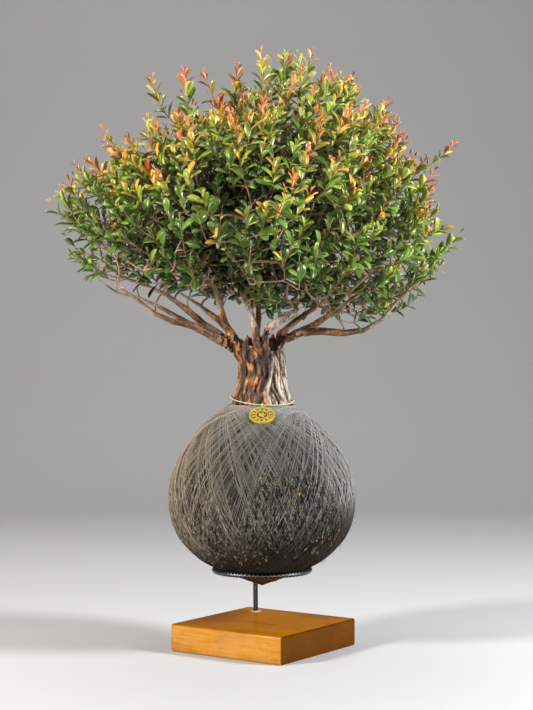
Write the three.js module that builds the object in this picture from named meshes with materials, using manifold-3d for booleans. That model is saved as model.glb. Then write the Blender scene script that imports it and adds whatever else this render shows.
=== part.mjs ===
// A kokedama moss ball plant: a small-leaved tree whose roots stand in a ball of soil and moss, wound with
// thread. The ball sits in the ring of a bent steel bar, and the bar stands in a varnished wooden block.
// Millimetres, +Z up. The origin is the centre of the block's underside, and -Y is the side that faces out.
import * as THREE from "three";
import { mergeVertices } from "three/addons/utils/BufferGeometryUtils.js";
import Module from "manifold-3d";

const wasm = await Module();
wasm.setup();

// ---------------------------------------------------------------- driving dimensions

const GAP = 0.3; // between neighbouring pieces
const SEED = 7;

const BASE = { side: 165, height: 34, turn: THREE.MathUtils.degToRad(-34.8), edge: 3, corner: 3 };
const BAR = { radius: 2.9, rib: 0.45, ribPitch: 13, sides: 6, socket: 26, bend: 11 };
const BALL = { x: -2.5, y: 12.5, around: 24, skinRows: 14, rows: 7, winding: 4.6, moss: 14, neck: 39 };
const RING = { radius: 59.5, height: 96, postAngle: THREE.MathUtils.degToRad(98.1), close: 0.12 };
const TRUNK = { foot: 306, top: 384, sides: 18, rows: 7, flutes: 6, stockRadius: 27, stockDepth: 66 };
const CORD = { radius: 0.8, front: 45, back: 36, side: 39.2, height: 309.6, droop: 6.75, lean: 2.5 };
const MEDALLION = {
  radius: 15.7, thickness: 1.5, rim: 0.8, sides: 16, eye: 1.9, eyeWire: 0.6, out: 56.8, sunk: 0.15,
};
const CROWN = { foot: 392, waist: 520, top: 748, reach: 258, depth: 0.86, middleY: 8 };
const LEAF = { length: 21, width: 7.6, widest: 0.62, rib: 0.9, neck: 0.6, fold: 0.7, droop: 0.12 };
const SHOOT = { radius: 1.4, root: 0.25, foot: 0.85, share: 0.9, farthest: 66, most: 3 };
const PAIR = { spacing: 14.5, shut: 0.42, opening: 0.3, open: 0.85 };
const TWIG = { radius: 1.7, reach: 9 };
const CORE = { share: 0.66, most: 41, least: 9, rough: 0.15, around: 8, rows: 4 };
const TUFT = { directions: 17, inward: -0.25, size: 1.3, root: 0.6, lift: 0.3 };

// The ball's outline from the tip under it to its neck: distance from its axis, then height.
const BALL_OUTLINE = [
  [0, 75.8], [29, 87.4], [57.5, 99.1], [80, 112], [103, 136], [113.8, 162], [116.4, 188],
  [112, 216], [98, 246], [74, 276], [BALL.neck, 303.5],
];

// The rows of sprays: height, share of the crown's reach that they sit at, how many, and their turn.
const SPRAY_ROWS = [
  { height: 472, share: 0.77, count: 10, turn: 0.5 },
  { height: 548, share: 0.76, count: 8, turn: 0.0 },
  { height: 622, share: 0.64, count: 5, turn: 0.5 },
  { height: 686, share: 0.4, count: 3, turn: 0.3 },
  { height: 554, share: 0.34, count: 3, turn: 0.1 },
];

// The boughs, from the trunk outwards: points, then the radius at the start and at the end.
const BOUGHS = [
  { route: [[-22, 6, 356], [-39, 4, 374], [-72, -5, 391], [-92, -12, 402], [-125, -22, 408],
    [-144, -30, 424], [-176, -42, 446]], thick: 8.5, thin: 2.4 },
  { route: [[-80, -6, 396], [-116, 0, 416], [-149, 10, 433], [-189, 18, 444], [-208, 22, 458]],
    thick: 5, thin: 2 },
  { route: [[-24, 16, 362], [-50, 17, 386], [-82, 20, 407], [-114, 32, 435], [-155, 42, 454],
    [-188, 50, 467], [-205, 55, 487]], thick: 7.5, thin: 2 },
  { route: [[-20, 4, 366], [-40, -2, 388], [-48, -6, 402], [-62, -15, 451], [-74, -24, 470]],
    thick: 7.5, thin: 2.6 },
  { route: [[-6, -2, 366], [-10, -12, 391], [-17, -20, 420], [-27, -26, 432], [-65, -40, 468],
    [-84, -50, 504]], thick: 6.5, thin: 2 },
  { route: [[-17, -20, 418], [-34, -34, 445], [-36, -42, 464], [-23, -50, 487]], thick: 4, thin: 2 },
  { route: [[0, 2, 370], [2, -18, 394], [20, -24, 406], [41, -26, 417]], thick: 7.5, thin: 5.6 },
  { route: [[8, 4, 360], [22, 0, 382], [42, -8, 391], [71, -15, 393], [110, -22, 391], [139, -28, 402],
    [158, -33, 424], [177, -36, 445], [202, -38, 464]], thick: 8, thin: 2 },
  { route: [[40, -6, 391], [60, 8, 400], [86, 18, 417], [112, 30, 436], [150, 42, 452]], thick: 5, thin: 2 },
  { route: [[4, 16, 366], [22, 40, 392], [58, 72, 420], [96, 100, 446]], thick: 7, thin: 2.2 },
  { route: [[-8, 20, 366], [-10, 52, 394], [-6, 92, 424], [-14, 138, 450]], thick: 7, thin: 2.2 },
  { route: [[-18, 18, 364], [-42, 44, 392], [-72, 78, 420], [-112, 104, 446]], thick: 7, thin: 2.2 },
];

// The tips of the shoots that reach furthest: left, right, top, front and back, then two that stand up alone.
const FAR_TIPS = [
  [-269, 2, 550], [247, 0, 520], [38, 14, 745], [-30, -216, 528], [-12, 232, 536],
  [-112, -36, 706], [234, -26, 626],
];

// ---------------------------------------------------------------- shared helpers

const vector = ([x, y, z]) => new THREE.Vector3(x, y, z);
const UP = new THREE.Vector3(0, 0, 1);

/** Numbers between 0 and 1 that are the same on every run. */
function seeded(seed) {
  let state = seed;
  return () => {
    state = (state * 1664525 + 1013904223) % 4294967296;
    return state / 4294967296;
  };
}

/** A closed geometry as a solid that can be joined and cut. */
function solidOf(geometry) {
  const bare = new THREE.BufferGeometry();
  bare.setAttribute("position", geometry.getAttribute("position"));
  bare.setIndex(geometry.index);
  const merged = mergeVertices(bare, 1e-4);
  const vertProperties = merged.getAttribute("position").array;
  const triVerts = new Uint32Array(merged.index.array);
  return new wasm.Manifold(new wasm.Mesh({ numProp: 3, vertProperties, triVerts }));
}

/** A solid as a geometry again. */
function geometryOf(solid) {
  const mesh = solid.getMesh();
  const geometry = new THREE.BufferGeometry();
  geometry.setAttribute("position", new THREE.BufferAttribute(mesh.vertProperties, 3));
  geometry.setIndex(new THREE.BufferAttribute(mesh.triVerts, 1));
  return geometry;
}

/** All the solids joined into one. */
function joined(solids) {
  return solids.reduce((whole, piece) => whole.add(piece));
}

/** The largest body of a solid, without its loose scraps. */
function mainBody(solid) {
  const bodies = solid.decompose();
  return bodies.reduce((best, body) => (body.volume() > best.volume() ? body : best));
}

/** Moves every vertex of a geometry to where `place` puts it. */
function reshaped(geometry, place) {
  const spots = geometry.getAttribute("position");
  const spot = new THREE.Vector3();
  for (let i = 0; i < spots.count; i++) {
    spot.fromBufferAttribute(spots, i);
    const moved = place(spot);
    spots.setXYZ(i, moved.x, moved.y, moved.z);
  }
  return geometry;
}

/** A closed tube along a curve, whose radius follows how far along it is, from 0 to 1. */
function limb(curve, radiusAt, sides, steps) {
  const frames = curve.computeFrenetFrames(steps, false);
  return reshaped(new THREE.CylinderGeometry(1, 1, 1, sides, steps), (spot) => {
    const step = Math.round((spot.y + 0.5) * steps);
    const radius = radiusAt(step / steps);
    return curve
      .getPointAt(step / steps)
      .addScaledVector(frames.normals[step], spot.x * radius)
      .addScaledVector(frames.binormals[step], -spot.z * radius);
  });
}

const curveOf = (points) => new THREE.CatmullRomCurve3(points, false, "centripetal");

function named(name, geometry, color, roughness, metalness = 0) {
  const mesh = new THREE.Mesh(geometry, new THREE.MeshStandardMaterial({ color, roughness, metalness }));
  mesh.name = name;
  return mesh;
}

// ---------------------------------------------------------------- base and stand

const ringPoint = (angle, height = RING.height) =>
  new THREE.Vector3(
    BALL.x + RING.radius * Math.cos(angle),
    BALL.y + RING.radius * Math.sin(angle),
    height,
  );

/** A square with rounded corners, its sides `inset` inside the block's. */
function squareOutline(inset) {
  const half = BASE.side / 2 - inset;
  const straight = half - BASE.corner;
  const outline = new THREE.Shape();
  for (let quarter = 0; quarter < 4; quarter++) {
    const angle = (quarter * Math.PI) / 2;
    const along = Math.cos(angle) * straight - Math.sin(angle) * straight;
    const across = Math.sin(angle) * straight + Math.cos(angle) * straight;
    outline.absarc(along, across, BASE.corner, angle, angle + Math.PI / 2);
  }
  return outline;
}

/** The varnished block, with the blind hole that the bar stands in. */
function woodenBase() {
  const block = new THREE.ExtrudeGeometry(squareOutline(BASE.edge), {
    depth: BASE.height - 2 * BASE.edge,
    bevelSize: BASE.edge,
    bevelThickness: BASE.edge,
    bevelSegments: 2,
    curveSegments: 2,
  });
  block.translate(0, 0, BASE.edge);
  block.rotateZ(BASE.turn);
  const post = ringPoint(RING.postAngle);
  const hole = new THREE.CylinderGeometry(BAR.radius + BAR.rib + GAP, BAR.radius + BAR.rib + GAP, 60, 12);
  hole.rotateX(Math.PI / 2);
  hole.translate(post.x, post.y, BASE.height - BAR.socket + 30);
  return named("wooden_base", geometryOf(solidOf(block).subtract(solidOf(hole))), 0xb87a35, 0.32);
}

/** The line of the steel bar: up out of the block, round a tight bend and once round the ring. */
function barLine() {
  const foot = ringPoint(RING.postAngle, BASE.height - BAR.socket + GAP);
  const top = ringPoint(RING.postAngle, RING.height - BAR.bend);
  const points = [foot, ringPoint(RING.postAngle, BASE.height), top];
  const bendTurn = BAR.bend / RING.radius;
  const halfBend = 1 - Math.SQRT1_2;
  points.push(ringPoint(RING.postAngle - bendTurn * halfBend, RING.height - BAR.bend * halfBend));
  const turns = 40;
  const lastAngle = RING.postAngle - 2 * Math.PI + RING.close;
  for (let i = 0; i <= turns; i++) {
    const angle = THREE.MathUtils.lerp(RING.postAngle - bendTurn, lastAngle, i / turns);
    points.push(ringPoint(angle));
  }
  return curveOf(points);
}

/** The ribbed bar: every second section stands out as a rib. */
function steelStand() {
  const line = barLine();
  const steps = 2 * Math.round(line.getLength() / BAR.ribPitch);
  const ribbed = (share) => BAR.radius + (Math.round(share * steps) % 2 ? BAR.rib : 0);
  return named("steel_stand", geometryOf(solidOf(limb(line, ribbed, BAR.sides, steps))), 0x15161a, 0.3, 0.9);
}

// ---------------------------------------------------------------- ball

const ballLine = new THREE.SplineCurve(BALL_OUTLINE.map(([out, height]) => new THREE.Vector2(out, height)));

/** Points of the ball's outline from its tip to its neck, `inset` inside its surface. */
function ballOutline(inset, count) {
  const points = [];
  for (let i = 0; i <= count; i++) {
    const point = ballLine.getPointAt(i / count);
    const along = ballLine.getTangentAt(i / count);
    const out = i === 0 ? 0 : Math.max(point.x - along.y * inset, 0);
    points.push(new THREE.Vector2(out, i === 0 ? point.y + inset * 1.08 : point.y + along.x * inset));
  }
  return points;
}

/** A solid turned round the ball's axis from an outline of distance and height. */
function turned(points) {
  const lathe = new THREE.LatheGeometry(points, BALL.around);
  lathe.rotateX(Math.PI / 2);
  return lathe.translate(BALL.x, BALL.y, 0);
}

/** A shell between two depths under the ball's surface, open round the trunk's foot. */
function ballShell(outer, inner, outerRows, innerRows) {
  const outside = ballOutline(outer, outerRows);
  const inside = ballOutline(inner, innerRows).reverse();
  return turned([...outside, ...inside]);
}

/** How deep the thread's surface dips between its crossing turns. */
function windingDip(spot) {
  const angle = Math.atan2(spot.y - BALL.y, spot.x - BALL.x);
  const level = (spot.z - BALL_OUTLINE[0][1]) / 14;
  const lean = Math.cos(8 * angle + level) * Math.cos(8 * angle - level);
  return 0.9 * lean * lean;
}

/** The wound thread, its crossing turns raised as a low relief. */
function threadWinding() {
  const centre = new THREE.Vector3(BALL.x, BALL.y, 188);
  const onSurface = 0.1;
  const outline = ballOutline(0, BALL.skinRows);
  const smoothShell = solidOf(ballShell(0, BALL.winding, BALL.skinRows, BALL.rows));
  const shell = reshaped(geometryOf(smoothShell), (spot) => {
    const flat = new THREE.Vector2(Math.hypot(spot.x - BALL.x, spot.y - BALL.y), spot.z);
    const isOutside = outline.some((point) => point.distanceTo(flat) < onSurface);
    const dip = isOutside ? windingDip(spot) : 0;
    return spot.clone().addScaledVector(spot.clone().sub(centre).normalize(), -dip);
  });
  return named("thread_winding", shell, 0x6d675d, 0.85);
}

function mossSheath() {
  const outer = BALL.winding + 2 * GAP;
  return named("moss_sheath", ballShell(outer, outer + BALL.moss, BALL.rows, BALL.rows), 0x6b7a2c, 0.95);
}

/** The soil ball, with the plain hole that the tree's root stock stands in. */
function soilCore() {
  const outline = ballOutline(BALL.winding + BALL.moss + 4 * GAP, BALL.rows);
  const top = outline[outline.length - 1];
  const body = solidOf(turned([...outline, new THREE.Vector2(0, top.y)]));
  const holeRadius = TRUNK.stockRadius + 2 * GAP;
  const hole = new THREE.CylinderGeometry(holeRadius, holeRadius, 80, 16);
  hole.rotateX(Math.PI / 2);
  hole.translate(BALL.x, BALL.y, TRUNK.foot - TRUNK.stockDepth - GAP + 40);
  return named("soil_core", geometryOf(body.subtract(solidOf(hole))), 0x2f241b, 0.95);
}

// ---------------------------------------------------------------- wood

/** The trunk's radius at a height (0 at its foot, 1 at its top) and an angle: flared, fluted and leaning. */
function trunkRadius(rise, angle, extra) {
  const flare = 29.5 + 6.5 * Math.exp(-rise * 7) + 1.5 * rise;
  const flute = 2.8 * Math.cos(TRUNK.flutes * angle + 2 * rise) + 1.4 * Math.cos(3 * angle + 1 - 2 * rise);
  const crown = Math.sqrt(Math.max(1 - Math.max(rise - 0.82, 0) ** 2 * 16, 0.3));
  return (flare + flute * (0.45 + 0.55 * rise)) * crown * 0.97 + extra;
}

/** The fluted trunk, from its foot on the ball up to where the boughs part. */
function trunk(extra) {
  const body = new THREE.CylinderGeometry(1, 1, 1, TRUNK.sides, TRUNK.rows);
  return reshaped(body, (spot) => {
    const rise = spot.y + 0.5;
    const angle = Math.atan2(-spot.z, spot.x);
    const radius = Math.hypot(spot.x, spot.z) * trunkRadius(rise, angle, extra);
    const sway = 1.6 * Math.sin(rise * 3.2) - 3.5 * rise;
    const height = THREE.MathUtils.lerp(TRUNK.foot - extra, TRUNK.top + extra, rise);
    return new THREE.Vector3(
      BALL.x - 1 + sway + radius * Math.cos(angle),
      BALL.y + radius * 0.92 * Math.sin(angle),
      height,
    );
  });
}

/** The root stock under the trunk, which narrows into the soil. */
function rootStock() {
  const stock = new THREE.CylinderGeometry(
    TRUNK.stockRadius, TRUNK.stockRadius * 0.55, TRUNK.stockDepth + 4, 12, 2,
  );
  stock.rotateX(Math.PI / 2);
  return stock.translate(BALL.x, BALL.y, TRUNK.foot + 4 - (TRUNK.stockDepth + 4) / 2);
}

const tapered = (thick, thin, extra) => (share) => THREE.MathUtils.lerp(thick, thin, share ** 0.8) + extra;

/** The woody skeleton: every limb as a curve with its radii, the branchlets grown out to the sprays. */
function growSkeleton(sprays) {
  const limbs = BOUGHS.map(({ route, thick, thin }) => ({
    curve: curveOf(route.map(vector)), thick, thin, sides: 5, steps: route.length,
  }));
  const knots = limbs.flatMap(knotsOf);
  const byDistance = [...sprays].sort((a, b) => a.inland - b.inland);
  for (const spray of byDistance) {
    const knot = nearestKnot(knots, spray.site);
    spray.inlet = inletOf(spray, knot.point);
    const start = knot.point;
    const reach = spray.inlet.distanceTo(start);
    const rise = start.clone().lerp(spray.inlet, 0.5).addScaledVector(UP, -reach * 0.1);
    const thick = Math.min(knot.radius * 0.85, 2.2 + reach * 0.012);
    const branchlet = {
      curve: curveOf([start, rise, spray.inlet]), thick, thin: TWIG.radius, sides: 3, steps: 2,
    };
    limbs.push(branchlet);
    knots.push(...knotsOf(branchlet));
  }
  return { limbs, knots };
}

/** Places along a limb that a branchlet can grow from, or that leaves keep clear of. */
function knotsOf({ curve, thick, thin }) {
  const count = Math.ceil(curve.getLength() / 6);
  return Array.from({ length: count }, (_, i) => ({
    point: curve.getPointAt((i + 0.5) / count),
    radius: tapered(thick, thin, 0)((i + 0.5) / count),
  }));
}

/** The knot that a branchlet to `site` leaves from: near, and below the site rather than over it. */
function nearestKnot(knots, site) {
  const cost = ({ point }) => point.distanceTo(site) + 0.9 * Math.max(point.z - site.z + 25, 0);
  return knots.reduce((best, knot) => (cost(knot) < cost(best) ? knot : best));
}

/** Where a spray's twig meets its branchlet: on the side of its core that faces the wood. */
function inletOf(spray, from) {
  const towards = from.clone().sub(spray.site).normalize();
  const free = Math.min(spray.room(towards) * 0.94, spray.site.distanceTo(from) * 0.8);
  return spray.site.clone().addScaledVector(towards, Math.min(spray.coreReach(towards) + TWIG.reach, free));
}

/** All the wood as one solid, `extra` thicker than it is. */
function wholeWood(limbs, extra) {
  const pieces = limbs.map(({ curve, thick, thin, sides, steps }) =>
    solidOf(limb(curve, tapered(thick, thin, extra), sides, steps)),
  );
  return joined([solidOf(trunk(extra)), solidOf(rootStock()), ...pieces]);
}

// ---------------------------------------------------------------- crown

/** The crown's half-width at a height. */
function crownReach(height) {
  const above = height > CROWN.waist;
  const rise = above
    ? (height - CROWN.waist) / (CROWN.top - CROWN.waist)
    : (CROWN.waist - height) / (CROWN.waist - CROWN.foot);
  if (rise >= 1) return 0;
  return CROWN.reach * (above ? (1 - rise ** 1.6) ** 0.8 : Math.sqrt(1 - rise * rise));
}

/** Where the crown's middle is at a height: its top leans to +X. */
function crownMiddle(height) {
  return -13 + 40 * Math.max(0, (height - 560) / 186) ** 1.5;
}

/** Whether a point lies inside the crown, whose underside is a gently tilted plane. */
function inCrown(point) {
  const across = point.x - crownMiddle(point.z);
  const away = (point.y - CROWN.middleY) / CROWN.depth;
  return Math.hypot(across, away) < crownReach(point.z) && point.z > 428 - 0.12 * point.x;
}

/** How far it is from a point to the crown's surface in a direction. */
function roomInCrown(from, direction) {
  let reach = 0;
  while (reach < 120 && inCrown(from.clone().addScaledVector(direction, reach))) reach += 1.5;
  return reach;
}

/** Where the sprays sit: rows round the crown, each a little off its even place. */
function spraySites(random) {
  return SPRAY_ROWS.flatMap(({ height, share, count, turn }) =>
    Array.from({ length: count }, (_, i) => {
      const angle = ((i + turn + 0.25 * (random() - 0.5)) / count) * 2 * Math.PI;
      const level = height + 14 * (random() - 0.5);
      const out = share * crownReach(level);
      return new THREE.Vector3(
        crownMiddle(level) + out * Math.cos(angle),
        CROWN.middleY + out * CROWN.depth * Math.sin(angle),
        level,
      );
    }),
  );
}

/** A spray's place in the crown: its site, its own room between its neighbours, and its lumpy core. */
function sprayAt(site, others, lumpiness) {
  const walls = others.map((other) => ({
    normal: other.clone().sub(site).normalize(),
    reach: other.distanceTo(site) / 2 - GAP / 2,
  }));
  const room = (direction) =>
    walls.reduce((least, { normal, reach }) => {
      const facing = normal.dot(direction);
      return facing > 1e-6 ? Math.min(least, reach / facing) : least;
    }, Infinity);
  const holds = (point) =>
    walls.every(({ normal, reach }) => point.clone().sub(site).dot(normal) < reach);
  const coreReach = (direction) => {
    const wave = 0.86 + 0.14 * Math.sin(9 * direction.x + 7 * direction.y + 5 * direction.z + lumpiness);
    const free = Math.min(room(direction), roomInCrown(site, direction));
    const inner = Math.min(free * CORE.share, CORE.most);
    return Math.max(inner * wave, CORE.least);
  };
  const level = new THREE.Vector3(site.x - crownMiddle(site.z), (site.y - CROWN.middleY) / CROWN.depth, 0);
  const tilt = 0.1 + 1.3 * Math.max((site.z - 468) / 232, 0) ** 1.6;
  const outward = level.normalize().multiplyScalar(Math.cos(tilt)).addScaledVector(UP, Math.sin(tilt));
  const inland = Math.hypot(site.x, site.y) + 0.5 * site.z;
  return { site, room, holds, coreReach, outward, inland };
}

/** Two facing leaves that meet on a stem: the stem runs up +Z, and each leaf opens from it by `open`. */
function pairShape(length, width, open) {
  return reshaped(new THREE.SphereGeometry(1, 8, 2), ({ x, y, z }) => {
    const hand = Math.sign(Math.round(x * 8));
    const isTip = Math.abs(x) > 0.9;
    const reach = hand === 0 ? 0 : isTip ? length : length * LEAF.widest;
    const half = hand === 0 ? LEAF.neck : width / 2;
    const lift = isTip ? -LEAF.droop * length : LEAF.fold * Math.abs(hand);
    return new THREE.Vector3(
      hand * (Math.sin(open) * reach - Math.cos(open) * lift),
      -Math.sign(Math.round(z * 8)) * half,
      Math.cos(open) * reach + Math.sin(open) * lift + (y * LEAF.rib) / Math.sin(open),
    );
  });
}

/** A pair of leaves on a stem at `root` that runs along `along`, turned about it by `turn`. */
function leafPair(root, along, turn, size, open) {
  const frame = new THREE.Quaternion().setFromUnitVectors(UP, along);
  frame.multiply(new THREE.Quaternion().setFromAxisAngle(UP, turn));
  const place = new THREE.Matrix4().compose(root, frame, new THREE.Vector3(1, 1, 1));
  return pairShape(LEAF.length * size, LEAF.width * size, open).applyMatrix4(place);
}

/** The stem of a shoot from its root, and the pairs of leaves between its foot and its tip. */
function shootPieces({ root, foot, tip }, turn, hasRoom) {
  const along = tip.clone().sub(root).normalize();
  const stemEnd = tip.clone().addScaledVector(along, -LEAF.length * Math.cos(PAIR.shut) * 0.7);
  const stem = limb(new THREE.LineCurve3(root, stemEnd), (share) => SHOOT.radius * (1 - 0.15 * share), 3, 1);
  const stemLength = stemEnd.distanceTo(foot);
  const count = THREE.MathUtils.clamp(Math.floor((stemLength - 2) / PAIR.spacing), 1, SHOOT.most);
  const pairs = Array.from({ length: count }, (_, i) => {
    const node = stemEnd.clone().addScaledVector(along, -3 - i * PAIR.spacing);
    const open = Math.min(PAIR.shut + PAIR.opening * i, PAIR.open);
    const size = Math.min(0.85 + 0.12 * i, 1.05);
    const turns = [2 * i, 2 * i + 1, 2 * i + 2, 2 * i + 3].map((eighth) => turn + (eighth * Math.PI) / 4);
    return turns.map((angle) => leafPair(node, along, angle, size, open)).find(hasRoom);
  });
  return [stem, ...pairs.filter(Boolean)];
}

/** Whether a pair of leaves lies in its spray's own room and clear of the wood. */
function fits(geometry, spray, knots) {
  const spots = geometry.getAttribute("position");
  for (let i = 0; i < spots.count; i++) {
    const point = new THREE.Vector3().fromBufferAttribute(spots, i);
    if (!spray.holds(point)) return false;
    if (knots.some((knot) => knot.point.distanceTo(point) < knot.radius + 3)) return false;
  }
  return true;
}

/** The dense middle of a spray: a small jagged lump of leaf points, which its shoots stand out of. */
function sprayCore(spray) {
  return reshaped(new THREE.SphereGeometry(1, CORE.around, CORE.rows), (spot) => {
    const direction = spot.clone().normalize();
    const row = Math.round((Math.acos(direction.y) / Math.PI) * CORE.rows);
    const column = Math.round((Math.atan2(direction.z, direction.x) / (2 * Math.PI)) * CORE.around);
    const jag = 1 + ((row + column) % 2 ? CORE.rough : -CORE.rough);
    return spray.site.clone().addScaledVector(direction, spray.coreReach(direction) * jag);
  });
}

/** The twig that carries a spray, from just off its branchlet into its core. */
function sprayTwig(spray) {
  const inwards = spray.site.clone().sub(spray.inlet).normalize();
  const start = spray.inlet.clone().addScaledVector(inwards, GAP);
  return limb(new THREE.LineCurve3(start, spray.site), tapered(TWIG.radius, 1, 0), 4, 1);
}

/** One leaf that grows up +Z from the origin: a slim kite, ridged along its middle on both faces. */
function leafShape(length, width) {
  return reshaped(new THREE.SphereGeometry(1, 4, 2), ({ x, y, z }) => {
    const isSide = Math.abs(z) > 0.5;
    const rise = isSide || Math.abs(y) > 0.5 ? LEAF.widest : Math.max(-x, 0);
    return new THREE.Vector3((z * width) / 2, y * LEAF.rib - (isSide ? LEAF.fold : 0), rise * length);
  });
}

/** Evenly spread directions, turned about +Z. */
function evenDirections(count, turn) {
  const goldenAngle = Math.PI * (3 - Math.sqrt(5));
  return Array.from({ length: count }, (_, i) => {
    const level = 1 - (2 * i + 1) / count;
    const around = turn + i * goldenAngle;
    const out = Math.sqrt(1 - level ** 2);
    return new THREE.Vector3(out * Math.cos(around), out * Math.sin(around), level);
  });
}

/** The single leaves that stand out of a spray's core, all round but for its inner side. */
function coreLeaves(spray, turn) {
  const outer = evenDirections(TUFT.directions, turn).filter((way) => way.dot(spray.outward) > TUFT.inward);
  return outer.map((direction, i) => {
    const root = spray.site.clone().addScaledVector(direction, spray.coreReach(direction) * TUFT.root);
    const along = direction.clone().addScaledVector(UP, TUFT.lift).normalize();
    const frame = new THREE.Quaternion().setFromUnitVectors(UP, along);
    frame.multiply(new THREE.Quaternion().setFromAxisAngle(UP, turn + 2.4 * i));
    const place = new THREE.Matrix4().compose(root, frame, new THREE.Vector3(1, 1, 1));
    return leafShape(LEAF.length * TUFT.size, LEAF.width * TUFT.size).applyMatrix4(place);
  });
}

/** Where a spray's shoots run: outwards to the crown's surface, and to each far tip in its room. */
function shootRoutes(spray) {
  const outwards = spray.outward;
  const free = Math.min(spray.room(outwards) * SHOOT.share, roomInCrown(spray.site, outwards));
  const nearTip = spray.site.clone().addScaledVector(outwards, Math.min(free, SHOOT.farthest));
  const tips = [nearTip, ...FAR_TIPS.map(vector).filter(spray.holds)];
  return tips.map((tip) => {
    const direction = tip.clone().sub(spray.site).normalize();
    const [root, foot] = [SHOOT.root, SHOOT.foot].map((share) =>
      spray.site.clone().addScaledVector(direction, spray.coreReach(direction) * share),
    );
    return { root, foot, tip };
  });
}

/** One leafy spray as one solid: twig, core and the shoots that stand out of it to the crown's surface. */
function growSpray(spray, knots, wood, random) {
  const hasRoom = (pair) => fits(pair, spray, knots);
  const shoots = shootRoutes(spray)
    .filter(({ foot, tip }) => foot.distanceTo(tip) > LEAF.length)
    .flatMap((route) => shootPieces(route, random() * Math.PI, hasRoom));
  const leaves = coreLeaves(spray, random() * Math.PI).filter(hasRoom);
  const pieces = [sprayCore(spray), sprayTwig(spray), ...shoots, ...leaves];
  return mainBody(joined(pieces.map(solidOf)).subtract(wood));
}

// ---------------------------------------------------------------- cord and medallion

/** The cord round the trunk's foot: the medallion draws it down in front, and it climbs a little behind. */
function neckCord() {
  const { radius, front, back, side, height, droop, lean } = CORD;
  const loop = new THREE.TorusGeometry(side, radius, 5, 22);
  reshaped(loop, (spot) => {
    const angle = Math.atan2(spot.y, spot.x);
    const sag = droop * Math.max(-Math.sin(angle), 0) + lean * Math.cos(angle);
    const length = (front + back) / 2 / side;
    const away = BALL.y + spot.y * length + (back - front) / 2;
    return new THREE.Vector3(BALL.x + spot.x, away, height + spot.z - sag);
  });
  return named("neck_cord", loop, 0xc9cfb0, 0.8);
}

/** Lays a flat thing on the ball's front shoulder, `out` from the ball's axis and `lift` off its surface. */
function onShoulder(geometry, out, lift) {
  const shares = Array.from({ length: 400 }, (_, i) => 0.6 + i / 1000);
  const miss = (share) => Math.abs(ballLine.getPointAt(share).x - out);
  const share = shares.reduce((best, next) => (miss(next) < miss(best) ? next : best));
  const spot = ballLine.getPointAt(share);
  const slope = ballLine.getTangentAt(share);
  const outwards = new THREE.Vector3(0, -slope.y, -slope.x);
  const place = new THREE.Vector3(BALL.x, BALL.y - spot.x, spot.y).addScaledVector(outwards, lift);
  geometry.rotateX(Math.atan2(slope.y, -slope.x));
  return geometry.translate(place.x, place.y, place.z);
}

/** The round tag on the ball's shoulder, with raised rings and the eye that the cord goes through. */
function medallion() {
  const { radius, thickness, rim, sides, eye, eyeWire, out, sunk } = MEDALLION;
  const outline = [
    [0, 0], [radius, 0], [radius, thickness + rim], [radius - 1.8, thickness + rim],
    [radius - 2.2, thickness], [8.8, thickness], [8.4, thickness + 0.5], [7.2, thickness + 0.5],
    [6.8, thickness], [0, thickness],
  ];
  const points = outline.map(([across, height]) => new THREE.Vector2(across, height));
  const disc = new THREE.LatheGeometry(points, sides);
  disc.rotateX(Math.PI / 2);
  const ring = new THREE.TorusGeometry(eye, eyeWire, 4, 8).rotateY(Math.PI / 2);
  ring.translate(BALL.x, BALL.y - CORD.front, CORD.height - CORD.droop);
  const body = solidOf(onShoulder(disc, out, -sunk)).add(solidOf(ring));
  return named("medallion", geometryOf(body), 0xc9a53a, 0.3, 1);
}

// ---------------------------------------------------------------- assembly

function ballPart() {
  const group = new THREE.Group();
  group.add(threadWinding(), mossSheath(), soilCore());
  return group;
}

function treePart() {
  const random = seeded(SEED);
  const sites = spraySites(random);
  const sprays = sites.map((site, i) =>
    sprayAt(site, sites.filter((other) => other !== site), i),
  );
  const { limbs, knots } = growSkeleton(sprays);
  const group = new THREE.Group();
  group.add(named("tree_wood", geometryOf(wholeWood(limbs, 0)), 0x8a5a35, 0.85));
  const clearance = wholeWood(limbs, GAP);
  sprays.forEach((spray, i) => {
    const name = "spray_" + String(i + 1).padStart(2, "0");
    const young = spray.site.z > 600;
    const grown = growSpray(spray, knots, clearance, random);
    group.add(named(name, geometryOf(grown), young ? 0x9a7a2a : 0x3d6a20, 0.5));
  });
  return group;
}

const plant = new THREE.Group();
plant.add(woodenBase(), steelStand(), ballPart(), treePart(), neckCord(), medallion());

export default plant;
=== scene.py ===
"""The looks of a kokedama moss ball plant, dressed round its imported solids.

A small-leaved tree stands in a ball of moss wound with thread. The ball sits in the ring of a bent, ribbed
bar, and the bar stands in a varnished block. Shapes are worked out in millimetres and turn into metres when
a mesh is made. The frame is the part's own: +Z up, the origin under the middle of the block, -Y the side
that faces out.
"""

import logging
import math
from dataclasses import dataclass, field
from enum import Enum
from itertools import product

import bmesh
import bpy
import numpy as np
from mathutils import Matrix, Vector


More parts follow.
